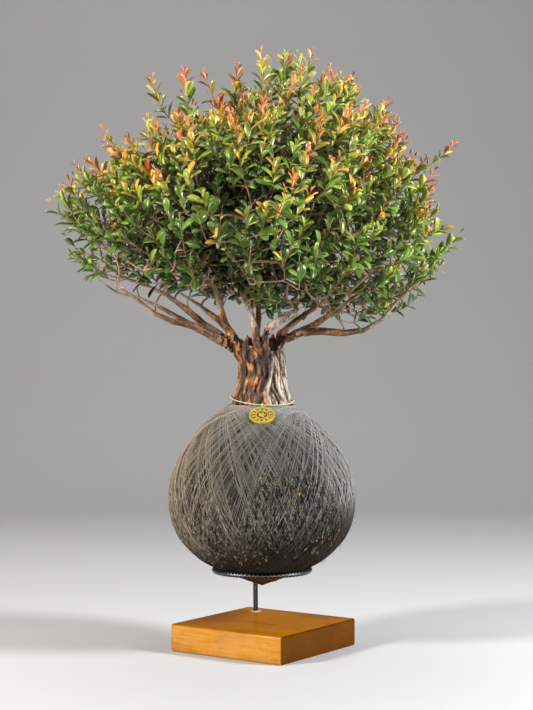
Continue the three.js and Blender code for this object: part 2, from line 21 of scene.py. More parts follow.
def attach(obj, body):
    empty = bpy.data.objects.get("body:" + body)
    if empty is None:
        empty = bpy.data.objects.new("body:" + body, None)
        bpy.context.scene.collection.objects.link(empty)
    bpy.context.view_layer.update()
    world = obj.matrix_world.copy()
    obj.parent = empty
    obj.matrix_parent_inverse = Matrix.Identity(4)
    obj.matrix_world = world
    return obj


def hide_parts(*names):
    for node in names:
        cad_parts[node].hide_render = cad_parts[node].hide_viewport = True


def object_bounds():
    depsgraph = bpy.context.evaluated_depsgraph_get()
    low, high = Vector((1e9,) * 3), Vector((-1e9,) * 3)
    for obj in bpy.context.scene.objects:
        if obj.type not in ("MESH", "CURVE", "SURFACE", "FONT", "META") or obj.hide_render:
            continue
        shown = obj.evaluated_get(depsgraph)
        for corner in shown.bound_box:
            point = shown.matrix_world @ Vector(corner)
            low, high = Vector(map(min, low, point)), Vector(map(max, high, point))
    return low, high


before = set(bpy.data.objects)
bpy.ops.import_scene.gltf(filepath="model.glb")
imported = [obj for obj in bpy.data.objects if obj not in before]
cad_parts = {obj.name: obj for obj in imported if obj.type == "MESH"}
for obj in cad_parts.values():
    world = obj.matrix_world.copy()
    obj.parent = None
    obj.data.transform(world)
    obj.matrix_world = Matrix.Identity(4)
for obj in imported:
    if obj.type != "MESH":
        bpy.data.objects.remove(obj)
cad_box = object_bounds()

LOG = logging.getLogger("kokedama")
METRE = 0.001
UP = np.array([0.0, 0.0, 1.0])

Pair = tuple[float, float]
Triple = tuple[float, float, float]
Colour = Triple
Stops = tuple[tuple[float, Colour], ...]
Socket = bpy.types.NodeSocket
Inputs = dict[str | int, object]


# ---------------------------------------------------------------- numbers and lines


def unit(vectors: np.ndarray) -> np.ndarray:
    """The vectors at a length of one."""
    return vectors / np.maximum(np.linalg.norm(vectors, axis=-1, keepdims=True), 1e-9)


def blend(first: np.ndarray, second: np.ndarray, share: np.ndarray) -> np.ndarray:
    """What lies between two values at a share from 0 to 1."""
    return first + (second - first) * share


def eased(value: np.ndarray, low: float, high: float) -> np.ndarray:
    """A smooth step from 0 at `low` to 1 at `high`."""
    share = np.clip((value - low) / (high - low), 0, 1)
    return share * share * (3 - 2 * share)


def lumps(points: np.ndarray, size: float | Triple, seed: int = 0) -> np.ndarray:
    """Smooth noise from 0 to 1.

    Args:
        points: places in millimetres, one a row.
        size: how large a lump is, in all directions or in X, Y and Z.
        seed: which noise it is.

    Returns:
        One value for each place.
    """
    spots = points / np.asarray(size, float) + 31.7 * seed
    cell = np.floor(spots).astype(np.int64)
    part = spots - cell
    part = part * part * (3 - 2 * part)
    total = np.zeros(len(points))
    for corner in product((0, 1), repeat=3):
        mark = (cell + corner) @ np.array([73856093, 19349663, 83492791])
        mark = ((mark ^ (mark >> 13)) * 1274126177) & 0x7FFFFFFF
        value = ((mark ^ (mark >> 15)) & 0xFFFF) / 0xFFFF
        total += value * np.prod(np.where(corner, part, 1 - part), axis=1)
    return total


def smooth_line(knots: np.ndarray, per_span: int) -> np.ndarray:
    """A smooth line through knots.

    Args:
        knots: the points that it goes through, one a row.
        per_span: its steps from one knot to the next.

    Returns:
        Its points, one a row.
    """
    knots = np.asarray(knots, float)
    padded = np.vstack([knots[:1], knots, knots[-1:]])
    before, start, end, after = (padded[i : len(padded) - 3 + i, None] for i in range(4))
    step = (np.arange(per_span) / per_span)[None, :, None]
    spans = 0.5 * (
        2 * start
        + (end - before) * step
        + (2 * before - 5 * start + 4 * end - after) * step**2
        + (3 * start - before - 3 * end + after) * step**3
    )
    return np.vstack([spans.reshape(-1, knots.shape[1]), knots[-1:]])


def circle(count: int) -> np.ndarray:
    """Angles in even steps round a circle."""
    return 2 * math.pi * np.arange(count) / count


def even_angles(count: int) -> tuple[np.ndarray, np.ndarray]:
    """Elevations and azimuths of directions that are spread evenly over a sphere."""
    numbers = np.arange(count)
    golden_angle = math.pi * (3 - math.sqrt(5))
    return np.arcsin(1 - (2 * numbers + 1) / count), numbers * golden_angle


def directions(elevation: np.ndarray, azimuth: np.ndarray) -> np.ndarray:
    """The directions with the elevations and azimuths given, one a row."""
    level = np.cos(elevation)
    return np.stack([level * np.cos(azimuth), level * np.sin(azimuth), np.sin(elevation)], -1)


# ---------------------------------------------------------------- closed shapes and meshes


@dataclass(frozen=True)
class Pattern:
    """The faces of one closed shape, by its vertices' numbers, and where each corner lies on its patch."""

    quads: np.ndarray
    quad_map: np.ndarray
    tris: np.ndarray
    tri_map: np.ndarray


class Heap:
    """Closed shapes gathered for one mesh. Each shape has a patch of its own on the mesh's map."""

    def __init__(self) -> None:
        """Starts with nothing in it."""
        self.points: list[np.ndarray] = []
        self.faces: dict[int, list[np.ndarray]] = {4: [], 3: []}
        self.maps: dict[int, list[np.ndarray]] = {4: [], 3: []}
        self.patches: dict[int, list[np.ndarray]] = {4: [], 3: []}
        self.values: list[dict[str, np.ndarray]] = []
        self.count = 0
        self.shapes = 0

    def add(self, points: np.ndarray, pattern: Pattern, **values: np.ndarray | float) -> None:
        """Adds shapes of one pattern.

        Args:
            points: their vertices, as shapes by vertices by three.
            pattern: their faces.
            values: named values, one for all, for each shape, or for each vertex of each shape.
        """
        shapes, vertices = points.shape[:2]
        first = self.count + np.arange(shapes)[:, None, None] * vertices
        patch = self.shapes + np.arange(shapes)[:, None]
        kinds = ((4, pattern.quads, pattern.quad_map), (3, pattern.tris, pattern.tri_map))
        for corners, faces, places in kinds:
            if not len(faces):
                continue
            self.faces[corners].append((first + faces[None]).reshape(-1, corners))
            repeated = np.broadcast_to(places[None], (shapes, *places.shape))
            self.maps[corners].append(repeated.reshape(-1, corners, 2))
            self.patches[corners].append(np.broadcast_to(patch, (shapes, len(faces))).reshape(-1))
        spread = {}
        for name, value in values.items():
            value = np.asarray(value, float)
            value = value[:, None] if value.ndim == 1 else value
            spread[name] = np.broadcast_to(value, (shapes, vertices)).reshape(-1)
        self.points.append(points.reshape(-1, 3))
        self.values.append(spread)
        self.count += shapes * vertices
        self.shapes += shapes

    def mesh(self, name: str, inside: tuple[np.ndarray, np.ndarray] | None = None) -> bpy.types.Mesh:
        """Makes one mesh of all that was added.

        Args:
            name: the mesh's name.
            inside: the lowest and the highest corner that no vertex may pass, in millimetres.

        Returns:
            The mesh, in metres, with a value at each vertex for each name that was given.
        """
        points = np.vstack(self.points)
        if inside is not None:
            points = np.clip(points, *inside)
        faces = {corners: np.vstack(rows) for corners, rows in self.faces.items() if rows}
        mesh = mesh_of(name, points, [faces[corners] for corners in faces])
        grid = math.ceil(math.sqrt(self.shapes))
        margin = 0.04
        corners_map = []
        for corners in faces:
            local = np.vstack(self.maps[corners])
            patch = np.concatenate(self.patches[corners])
            cell = np.stack([patch % grid, patch // grid], axis=-1)[:, None]
            corners_map.append(((cell + margin + (1 - 2 * margin) * local) / grid).reshape(-1, 2))
        layer = mesh.uv_layers.new(name="OFBake")
        layer.data.foreach_set("uv", np.vstack(corners_map).astype(np.float32).ravel())
        for value_name in self.values[0]:
            give_value(mesh, value_name, np.concatenate([row[value_name] for row in self.values]))
        return mesh


def mesh_of(name: str, points: np.ndarray, faces: list[np.ndarray]) -> bpy.types.Mesh:
    """Makes a smooth mesh.

    Args:
        name: its name.
        points: its vertices in millimetres.
        faces: arrays of faces, each array with one number of corners.

    Returns:
        The mesh, in metres.
    """
    mesh = bpy.data.meshes.new(name)
    corners = np.concatenate([rows.ravel() for rows in faces])
    sizes = np.concatenate([np.full(len(rows), rows.shape[1]) for rows in faces])
    mesh.vertices.add(len(points))
    mesh.vertices.foreach_set("co", (points * METRE).astype(np.float32).ravel())
    mesh.loops.add(len(corners))
    mesh.loops.foreach_set("vertex_index", corners.astype(np.int32))
    mesh.polygons.add(len(sizes))
    mesh.polygons.foreach_set("loop_start", (np.cumsum(sizes) - sizes).astype(np.int32))
    mesh.update(calc_edges=True)
    mesh.validate()
    mesh.shade_smooth()
    return mesh


def give_value(mesh: bpy.types.Mesh, name: str, values: np.ndarray) -> None:
    """Keeps a named value at each vertex of a mesh, for its material to read."""
    layer = mesh.attributes.new(name, "FLOAT", "POINT")
    layer.data.foreach_set("value", values.astype(np.float32))


def points_of(mesh: bpy.types.Mesh) -> np.ndarray:
    """The vertices of a mesh in millimetres."""
    flat = np.empty(len(mesh.vertices) * 3, np.float32)
    mesh.vertices.foreach_get("co", flat)
    return flat.reshape(-1, 3).astype(float) / METRE


def tube_pattern(rings: int, sides: int, closed: bool = False) -> Pattern:
    """The faces of a tube.

    Args:
        rings: how many rings of vertices it has.
        sides: how many vertices a ring has.
        closed: whether its end joins its start, with no caps.

    Returns:
        The pattern for vertices that run ring by ring, and then the middles of the two caps.
    """
    quads, places = [], []
    for ring in range(rings if closed else rings - 1):
        here, after = ring * sides, (ring + 1) % rings * sides
        low, high = ring / rings, (ring + 1) / rings
        for side in range(sides):
            beside = (side + 1) % sides
            quads.append([here + side, here + beside, after + beside, after + side])
            left, right = side / sides, (side + 1) / sides
            places.append([[left, low], [right, low], [right, high], [left, high]])
    tris, tri_places = [], []
    if not closed:
        start, end, last = rings * sides, rings * sides + 1, (rings - 1) * sides
        for side in range(sides):
            beside = (side + 1) % sides
            tris += [[start, beside, side], [end, last + side, last + beside]]
            left, right = side / sides, (side + 1) / sides
            tri_places += [[[left, 0], [right, 0], [left, 0.02]], [[left, 1], [left, 0.98], [right, 0.98]]]
    tris, tri_places = np.array(tris).reshape(-1, 3), np.array(tri_places).reshape(-1, 3, 2)
    return Pattern(np.array(quads), np.array(places), tris, tri_places)


def grid_quads(rows: int, around: int, turned: bool = False) -> np.ndarray:
    """The faces between rows of vertices round an axis.

    Args:
        rows: how many rows there are.
        around: how many vertices a row has.
        turned: whether the faces look the other way.

    Returns:
        The quads, by the numbers of vertices that run row by row.
    """
    column = np.arange(around)
    beside = (column + 1) % around
    low = np.arange(rows - 1)[:, None] * around
    high = low + around
    corners = [low + column, high + column, high + beside, low + beside]
    if not turned:
        corners = [low + column, low + beside, high + beside, high + column]
    return np.stack(corners, axis=-1).reshape(-1, 4)


def fan(middle: int, ring: int, around: int, turned: bool = False) -> np.ndarray:
    """The faces between one vertex and a ring of them.

    Args:
        middle: the vertex's number.
        ring: the number of the ring's first vertex.
        around: how many vertices the ring has.
        turned: whether the faces look the other way.

    Returns:
        The triangles.
    """
    column = np.arange(around)
    beside = (column + 1) % around
    pair = (beside, column) if turned else (column, beside)
    return np.stack([np.full(around, middle), ring + pair[0], ring + pair[1]], -1)


def tube_points(paths: np.ndarray, radii: np.ndarray, sides: int, closed: bool = False) -> np.ndarray:
    """The vertices of many tubes.

    Args:
        paths: their middle lines, as tubes by rings by three.
        radii: a radius for each ring of each tube.
        sides: how many vertices a ring has.
        closed: whether each tube's end joins its start.

    Returns:
        The vertices, as tubes by vertices by three.
    """
    if closed:
        along = unit(np.roll(paths, -1, axis=1) - np.roll(paths, 1, axis=1))
    else:
        along = unit(np.gradient(paths, axis=1))
    # Each ring's normal is the one before it, turned no more than the line bends, so that no tube twists.
    least = np.eye(3)[np.argmin(np.abs(along[:, 0]), axis=-1)]
    normal = unit(np.cross(along[:, 0], least))
    normals = np.empty_like(along)
    for ring in range(along.shape[1]):
        step = along[:, ring]
        normal = unit(normal - np.sum(normal * step, axis=-1, keepdims=True) * step)
        normals[:, ring] = normal
    binormals = np.cross(along, normals)
    angle = circle(sides)
    ring_shape = normals[:, :, None] * np.cos(angle)[:, None] + binormals[:, :, None] * np.sin(angle)[:, None]
    points = paths[:, :, None] + ring_shape * radii[:, :, None, None]
    points = points.reshape(len(paths), -1, 3)
    return points if closed else np.concatenate([points, paths[:, :1], paths[:, -1:]], axis=1)


def turned_shape(outline: np.ndarray, around: int) -> tuple[np.ndarray, list[np.ndarray]]:
    """A solid turned round +Z from an outline that starts and ends on the axis.

    Args:
        outline: distance from the axis and height, one a row, from the bottom up.
        around: how many columns of vertices it has.

    Returns:
        Its vertices, and its faces as quads and triangles.
    """
    inner = outline[1:-1]
    angle = circle(around)
    ring = np.stack([np.cos(angle), np.sin(angle)], axis=-1)
    levels = np.repeat(inner[:, None, 1:], around, axis=1)
    points = np.concatenate([inner[:, None, :1] * ring, levels], axis=-1)
    points = np.vstack([points.reshape(-1, 3), [[0, 0, outline[0, 1]], [0, 0, outline[-1, 1]]]])
    low, high, last = len(points) - 2, len(points) - 1, (len(inner) - 1) * around
    caps = [fan(low, 0, around, turned=True), fan(high, last, around)]
    return points, [grid_quads(len(inner), around), np.vstack(caps)]


# ---------------------------------------------------------------- shader helpers and shared groups


class Graph:
    """Adds nodes to one shader tree and joins them up."""

    def __init__(self, tree: bpy.types.NodeTree) -> None:
        """Works on the tree that it is given."""
        self.tree = tree

    def feed(self, node: bpy.types.Node, inputs: Inputs) -> None:
        """Joins a node's inputs to other nodes' outputs, or sets them to plain values."""
        for name, value in inputs.items():
            if isinstance(value, Socket):
                self.tree.links.new(value, node.inputs[name])
            else:
                node.inputs[name].default_value = value

    def add(self, kind: str, inputs: Inputs | None = None, **settings: object) -> bpy.types.Node:
        """Adds one node.

        Args:
            kind: the last part of its type's name.
            inputs: what goes into its sockets, as another node's output or as a plain value.
            settings: the node's own settings.

        Returns:
            The node.
        """
        node = self.tree.nodes.new("ShaderNode" + kind)
        for name, value in settings.items():
            setattr(node, name, value)
        self.feed(node, inputs or {})
        return node

    def calc(self, operation: str, first: object, second: object = 0.0) -> Socket:
        """The result of a sum on two values."""
        return self.add("Math", {0: first, 1: second}, operation=operation).outputs[0]

    def span(self, value: Socket, low: float, high: float, start: float = 0.0, end: float = 1.0) -> Socket:
        """A value that runs from `start` to `end` while another runs from `low` to `high`."""
        inputs = {"Value": value, "From Min": low, "From Max": high, "To Min": start, "To Max": end}
        return self.add("MapRange", inputs).outputs["Result"]

    def ramp(self, value: Socket, stops: Stops) -> Socket:
        """A colour that runs through the stops as a value goes from 0 to 1."""
        node = self.add("ValToRGB", {"Fac": value})
        while len(node.color_ramp.elements) < len(stops):
            node.color_ramp.elements.new(1.0)
        for element, (position, colour) in zip(node.color_ramp.elements, stops):
            element.position = position
            element.color = (*colour, 1)
        return node.outputs["Color"]

    def grey(self, value: Socket) -> Socket:
        """A grey as bright as a value."""
        return self.add("CombineColor", {0: value, 1: value, 2: value}).outputs[0]

    def mixed(self, share: object, first: object, second: object, how: str = "MIX") -> Socket:
        """One colour laid over another by a share."""
        first, second = (colour if isinstance(colour, Socket) else (*colour, 1) for colour in (first, second))
        return self.add("Mix", {0: share, 6: first, 7: second}, data_type="RGBA", blend_type=how).outputs[2]

    def noise(self, vector: Socket, scale: object, detail: float = 3.0, roughness: float = 0.55) -> Socket:
        """Noise from 0 to 1, with `scale` lumps in a metre."""
        inputs = {"Vector": vector, "Scale": scale, "Detail": detail, "Roughness": roughness}
        return self.add("TexNoise", inputs).outputs["Fac"]

    def value(self, name: str) -> Socket:
        """The value of that name that the mesh keeps at its vertices."""
        return self.add("Attribute", attribute_name=name).outputs["Fac"]

    def place(self, scale: Triple = (1, 1, 1), turn: float = 0.0) -> Socket:
        """The place on the object, turned about +Z and stretched."""
        spot = self.add("TexCoord").outputs["Object"]
        turned = self.add("Mapping", {"Vector": spot, "Rotation": (0, 0, -turn)}).outputs["Vector"]
        return self.add("Mapping", {"Vector": turned, "Scale": scale}).outputs["Vector"]

    def parts(self, vector: Socket) -> tuple[Socket, ...]:
        """The X, Y and Z of a vector."""
        return tuple(self.add("SeparateXYZ", {0: vector}).outputs)

    def bump(self, height: Socket, depth: float, strength: float = 1.0) -> Socket:
        """The normal of a surface with relief `depth` millimetres deep."""
        inputs = {"Height": height, "Distance": depth * METRE, "Strength": strength}
        return self.add("Bump", inputs).outputs["Normal"]

    def effect(self, effect: "Effect", **inputs: object) -> Socket:
        """What a shared effect puts out, with its inputs joined or set."""
        return self.add("Group", inputs, node_tree=effect.group()).outputs[0]

    def mottled(self, spot: Socket, scale: float, contrast: float) -> Socket:
        """Uneven tone, about 0.5 in the middle."""
        return self.effect(Effect.MOTTLE, Vector=spot, Scale=scale, Contrast=contrast)

    def streaked(self, spot: Socket, stretch: Triple, scale: float) -> Socket:
        """Fine lines, from 0 to 1, along the direction with the smallest stretch."""
        return self.effect(Effect.STREAKS, Vector=spot, Stretch=stretch, Scale=scale)

    def dirtied(
        self, colour: object, dirt: Colour, amount: float, spot: Socket, scale: float, mask: object = 1.0
    ) -> Socket:
        """A colour with dirt on it.

        Args:
            colour: the clean colour.
            dirt: the colour of the dirt.
            amount: how much of the clean colour the patches hide, from 0 to 1.
            spot: the place on the object.
            scale: how many patches there are in a metre.
            mask: where the patches may lie, from 0 to 1.

        Returns:
            The dirty colour.
        """
        clean = colour if isinstance(colour, Socket) else (*colour, 1)
        inputs = {"Colour": clean, "Dirt": (*dirt, 1), "Amount": amount, "Mask": mask, "Vector": spot}
        return self.effect(Effect.SETTLED_DIRT, Scale=scale, **inputs)

    def surface(self, **values: object) -> None:
        """The shader that the material puts out, its sockets named with _ for a space."""
        inputs = {name.replace("_", " "): value for name, value in values.items()}
        shader = self.add("BsdfPrincipled", inputs)
        self.add("OutputMaterial", {"Surface": shader.outputs["BSDF"]})


def blank_material(name: str) -> tuple[bpy.types.Material, Graph]:
    """A new material with an empty tree, and what adds nodes to it."""
    material = bpy.data.materials.new(name)
    material.use_nodes = True
    material.node_tree.nodes.clear()
    return material, Graph(material.node_tree)


class Effect(Enum):
    """The effects that several materials share, each one node group, by the group's name."""

    MOTTLE = "mottle"
    STREAKS = "streaks"
    SETTLED_DIRT = "settled dirt"

    def group(self) -> bpy.types.NodeTree:
        """The effect's node group, which is built the first time that it is asked for."""
        builders = {
            Effect.MOTTLE: mottle_group,
            Effect.STREAKS: streaks_group,
            Effect.SETTLED_DIRT: settled_dirt_group,
        }
        return bpy.data.node_groups.get(self.value) or builders[self](self.value)


def new_group(
    name: str, inputs: dict[str, tuple[str, object]], output: tuple[str, str]
) -> tuple[Graph, Inputs]:
    """Starts a node group.

    Args:
        name: its name.
        inputs: type and value of each input, by its name.
        output: name and type of its output.

    Returns:
        What adds nodes to it, and what comes in at its inputs, by their names.
    """
    tree = bpy.data.node_groups.new(name, "ShaderNodeTree")
    for label, (kind, value) in inputs.items():
        socket = tree.interface.new_socket(label, in_out="INPUT", socket_type="NodeSocket" + kind)
        socket.default_value = value
    label, kind = output
    tree.interface.new_socket(label, in_out="OUTPUT", socket_type="NodeSocket" + kind)
    entry = tree.nodes.new("NodeGroupInput")
    return Graph(tree), {label: entry.outputs[label] for label in inputs}


def finished(graph: Graph, output: Socket) -> bpy.types.NodeTree:
    """Puts a node group's result out of it."""
    graph.feed(graph.tree.nodes.new("NodeGroupOutput"), {0: output})
    return graph.tree


def mottle_group(name: str) -> bpy.types.NodeTree:
    """Uneven tone: broad blotches with finer ones in them."""
    inputs = {"Vector": ("Vector", (0, 0, 0)), "Scale": ("Float", 50.0), "Contrast": ("Float", 1.6)}
    graph, given = new_group(name, inputs, ("Value", "Float"))
    off_middle = graph.calc("SUBTRACT", graph.noise(given["Vector"], given["Scale"], 5, 0.62), 0.5)
    stronger = graph.calc("MULTIPLY", off_middle, given["Contrast"])
    value = graph.add("Math", {0: stronger, 1: 0.5}, operation="ADD", use_clamp=True).outputs[0]
    return finished(graph, value)


def streaks_group(name: str) -> bpy.types.NodeTree:
    """Fine lines that run along one direction, as grain, bark strings and fibres do."""
    inputs = {"Vector": ("Vector", (0, 0, 0)), "Stretch": ("Vector", (1, 1, 0.1)), "Scale": ("Float", 300.0)}
    graph, given = new_group(name, inputs, ("Value", "Float"))
    stretched = graph.add("VectorMath", {0: given["Vector"], 1: given["Stretch"]}, operation="MULTIPLY")
    return finished(graph, graph.span(graph.noise(stretched.outputs[0], given["Scale"], 4, 0.6), 0.28, 0.72))


def settled_dirt_group(name: str) -> bpy.types.NodeTree:
    """Dirt, dust or tarnish over a colour, in patches that a mask can gather."""
    inputs = {
        "Colour": ("Color", (1, 1, 1, 1)), "Dirt": ("Color", (0.1, 0.08, 0.06, 1)), "Amount": ("Float", 0.5),
        "Mask": ("Float", 1.0), "Vector": ("Vector", (0, 0, 0)), "Scale": ("Float", 60.0),
    }
    graph, given = new_group(name, inputs, ("Colour", "Color"))
    patches = graph.noise(given["Vector"], given["Scale"], 6, 0.65)
    cover = graph.calc("MULTIPLY", graph.span(patches, 0.38, 0.6), given["Mask"])
    cover = graph.calc("MULTIPLY", cover, given["Amount"])
    return finished(graph, graph.mixed(cover, given["Colour"], given["Dirt"]))


# ---------------------------------------------------------------- finishes


@dataclass(frozen=True)
class Finish:
    """A finish, which becomes one material."""

    name: str = "finish"

    def material(self) -> bpy.types.Material:
        """Builds the material."""
        material, graph = blank_material(self.name)
        self.paint(graph)
        return material

    def paint(self, graph: Graph) -> None:
        """Adds the finish's nodes, which each finish has its own way to do."""
        raise NotImplementedError


@dataclass(frozen=True)
class VarnishedWood(Finish):
    """Honey-coloured wood with a close grain under a clear, soft-gloss varnish. Its sizes are in metres."""

    name: str = "varnished honey wood"
    grain: Stops = ((0.0, (0.26, 0.08, 0.006)), (0.45, (0.48, 0.19, 0.018)), (1.0, (0.62, 0.285, 0.036)))
    pores: Colour = (0.13, 0.045, 0.008)
    worn: Colour = (0.62, 0.42, 0.2)
    # Painted shade over the top face.
    top_painted_shade: Colour = (0.5, 0.39, 0.03)
    end_tint: Colour = (0.2, 0.14, 0.02)
    turn: float = 0.0
    height: float = 0.034
    half: float = 0.0825

    def paint(self, graph: Graph) -> None:
        """Grain, figure and pores along the block, worn patches, painted shade on top, and a deeper tone on
        the ends.
        """
        along = graph.place(turn=self.turn)
        streaks = graph.streaked(along, (0.05, 1, 1), 420.0)
        figure = graph.mottled(graph.place((0.35, 1, 1), self.turn), 26.0, 2.2)
        tone = graph.calc("ADD", graph.calc("MULTIPLY", streaks, 0.42), graph.calc("MULTIPLY", figure, 0.58))
        fine = graph.noise(graph.place((0.06, 1, 1), self.turn), 1500.0, 2)
        pores = graph.span(fine, 0.62, 0.74, 0.0, 0.55)
        colour = graph.mixed(pores, graph.ramp(tone, self.grain), self.pores)
        colour = graph.dirtied(colour, self.worn, 0.16, along, 45.0)
        run, _, height = graph.parts(along)
        # Painted shade: the top face is darkened so that it looks less lit than the sides.
        top = graph.span(height, self.height - 0.0022, self.height - 0.0006)
        colour = graph.mixed(top, colour, self.top_painted_shade, "MULTIPLY")
        end = graph.span(graph.calc("ABSOLUTE", run), self.half - 0.002, self.half - 0.0008)
        colour = graph.mixed(end, colour, self.end_tint, "MULTIPLY")
        graph.surface(
            Base_Color=colour, Roughness=graph.span(graph.noise(along, 70.0, 4), 0.3, 0.7, 0.24, 0.36),
            Normal=graph.bump(fine, 0.06, 0.5), Coat_Weight=0.15, Coat_Roughness=0.16, Coat_IOR=1.5,
            Specular_IOR_Level=0.0,
        )


@dataclass(frozen=True)
class BlackSteel(Finish):
    """Blackened steel with rib tops worn bare and lightened as a painted highlight, and a trace of rust."""

    name: str = "black steel"
    low: Colour = (0.02, 0.021, 0.025)
    # Bare metal on the rib tops, kept light as a painted highlight too.
    high: Colour = (0.42, 0.43, 0.46)
    rust: Colour = (0.05, 0.03, 0.022)

    def paint(self, graph: Graph) -> None:
        """Black in the hollows, bare and lightened as a painted highlight in blotches on the ribs, and rust
        in patches over both.
        """
        spot = graph.place()
        blotch = graph.mottled(spot, 220.0, 2.0)
        # Rib tops in blotches: worn bare, and lightened as a painted highlight.
        worn_and_highlit_tops = graph.calc("MULTIPLY", graph.span(graph.value("relief"), 0.3, 1.0), blotch)
        colour = graph.dirtied(graph.mixed(worn_and_highlit_tops, self.low, self.high), self.rust, 0.35, spot, 160.0)
        graph.surface(
            Base_Color=colour, Metallic=0.85, Roughness=graph.span(blotch, 0.0, 1.0, 0.42, 0.22),
            Normal=graph.bump(graph.noise(spot, 1800.0, 3), 0.08, 0.5),
        )


@dataclass(frozen=True)
class GreyThread(Finish):
    """Warm grey thread, each turn a little lighter or darker, brown low down and orange at the tip as painted
    shade and warm light reflected from the block, and stained by the moss.

    Its heights are in metres.
    """

    name: str = "grey thread"
    dark: Colour = (0.009, 0.008, 0.007)
    light: Colour = (0.4, 0.385, 0.36)
    warm: Colour = (1.0, 0.84, 0.68)
    # Painted shade under the ball, warmed by light reflected from the block.
    brown: Colour = (0.032, 0.013, 0.002)
    # A painted reflection of the block's orange light on the tip below.
    tip: Colour = (0.34, 0.11, 0.012)
    stain: Colour = (0.012, 0.01, 0.007)
    low: float = 0.122
    high: float = 0.17
    lean: float = 0.24
    tip_top: float = 0.096
    tip_foot: float = 0.086

    def paint(self, graph: Graph) -> None:
        """Each turn's own grey, warmer on the left, brown below a leaning line and orange at the tip as
        painted shade and reflected light from the block, stained.
        """
        spot = graph.place()
        across, _, height = graph.parts(spot)
        blotch = graph.calc("MULTIPLY", graph.mottled(spot, 520.0, 1.9), 0.18)
        tone = graph.calc("ADD", graph.calc("MULTIPLY", graph.value("tone"), 0.8), blotch)
        colour = graph.mixed(tone, self.dark, self.light)
        warmed = graph.mixed(1.0, colour, self.warm, "MULTIPLY")
        colour = graph.mixed(graph.span(across, 0.02, -0.09), colour, warmed)
        leaning = graph.calc("SUBTRACT", height, graph.calc("MULTIPLY", across, self.lean))
        patches = graph.span(graph.noise(spot, 22.0, 3), 0.3, 0.62, 0.8, 1.0)
        # Painted shade: below a leaning line the thread goes brown, as the shaded underside lit warm by the
        # block.
        painted_underside_shade = graph.calc("MULTIPLY", patches, graph.span(leaning, self.high, self.low))
        colour = graph.mixed(painted_underside_shade, colour, self.brown)
        # Painted reflection: the tip below is tinted orange as if lit by the block.
        colour = graph.mixed(graph.span(height, self.tip_top, self.tip_foot, 0.0, 0.8), colour, self.tip)
        drawn_down = graph.place((1, 1, 0.35))
        colour = graph.dirtied(colour, self.stain, 1.0, drawn_down, 420.0, graph.value("stain"))
        graph.surface(
            Base_Color=colour, Roughness=0.85, Specular_IOR_Level=0.12, Sheen_Weight=0.06,
            Sheen_Roughness=0.5, Normal=graph.bump(graph.noise(spot, 2600.0, 2), 0.12, 0.6),
        )


@dataclass(frozen=True)
class MossFinish(Finish):
    """Moss, from fresh yellow-green to dry orange-brown."""

    name: str = "moss"
    kinds: Stops = (
        (0.0, (0.34, 0.35, 0.04)), (0.25, (0.16, 0.18, 0.025)), (0.5, (0.24, 0.16, 0.05)),
        (0.8, (0.1, 0.05, 0.02)), (1.0, (0.36, 0.13, 0.035)),
    )
    dust: Colour = (0.03, 0.025, 0.012)

    def paint(self, graph: Graph) -> None:
        """Each tuft's own kind of moss, a little uneven and dusty."""
        spot = graph.place()
        uneven = graph.span(graph.mottled(spot, 420.0, 1.8), 0, 1, -0.12, 0.12)
        kind = graph.calc("ADD", graph.value("dryness"), uneven)
        colour = graph.dirtied(graph.ramp(kind, self.kinds), self.dust, 0.6, spot, 500.0)
        relief = graph.bump(graph.noise(spot, 900.0, 5), 1.2)
        graph.surface(Base_Color=colour, Roughness=0.9, Sheen_Weight=0.3, Normal=relief)


@dataclass(frozen=True)
class SoilFinish(Finish):
    """Dark crumbly soil."""

    name: str = "soil"
    crumbs: Stops = ((0.0, (0.012, 0.008, 0.005)), (0.5, (0.04, 0.024, 0.014)), (1.0, (0.1, 0.066, 0.04)))

    def paint(self, graph: Graph) -> None:
        """Dark and lighter crumbs."""
        spot = graph.place()
        colour = graph.ramp(graph.mottled(spot, 300.0, 2.4), self.crumbs)
        graph.surface(Base_Color=colour, Roughness=0.95, Normal=graph.bump(graph.noise(spot, 600.0, 5), 1.5))


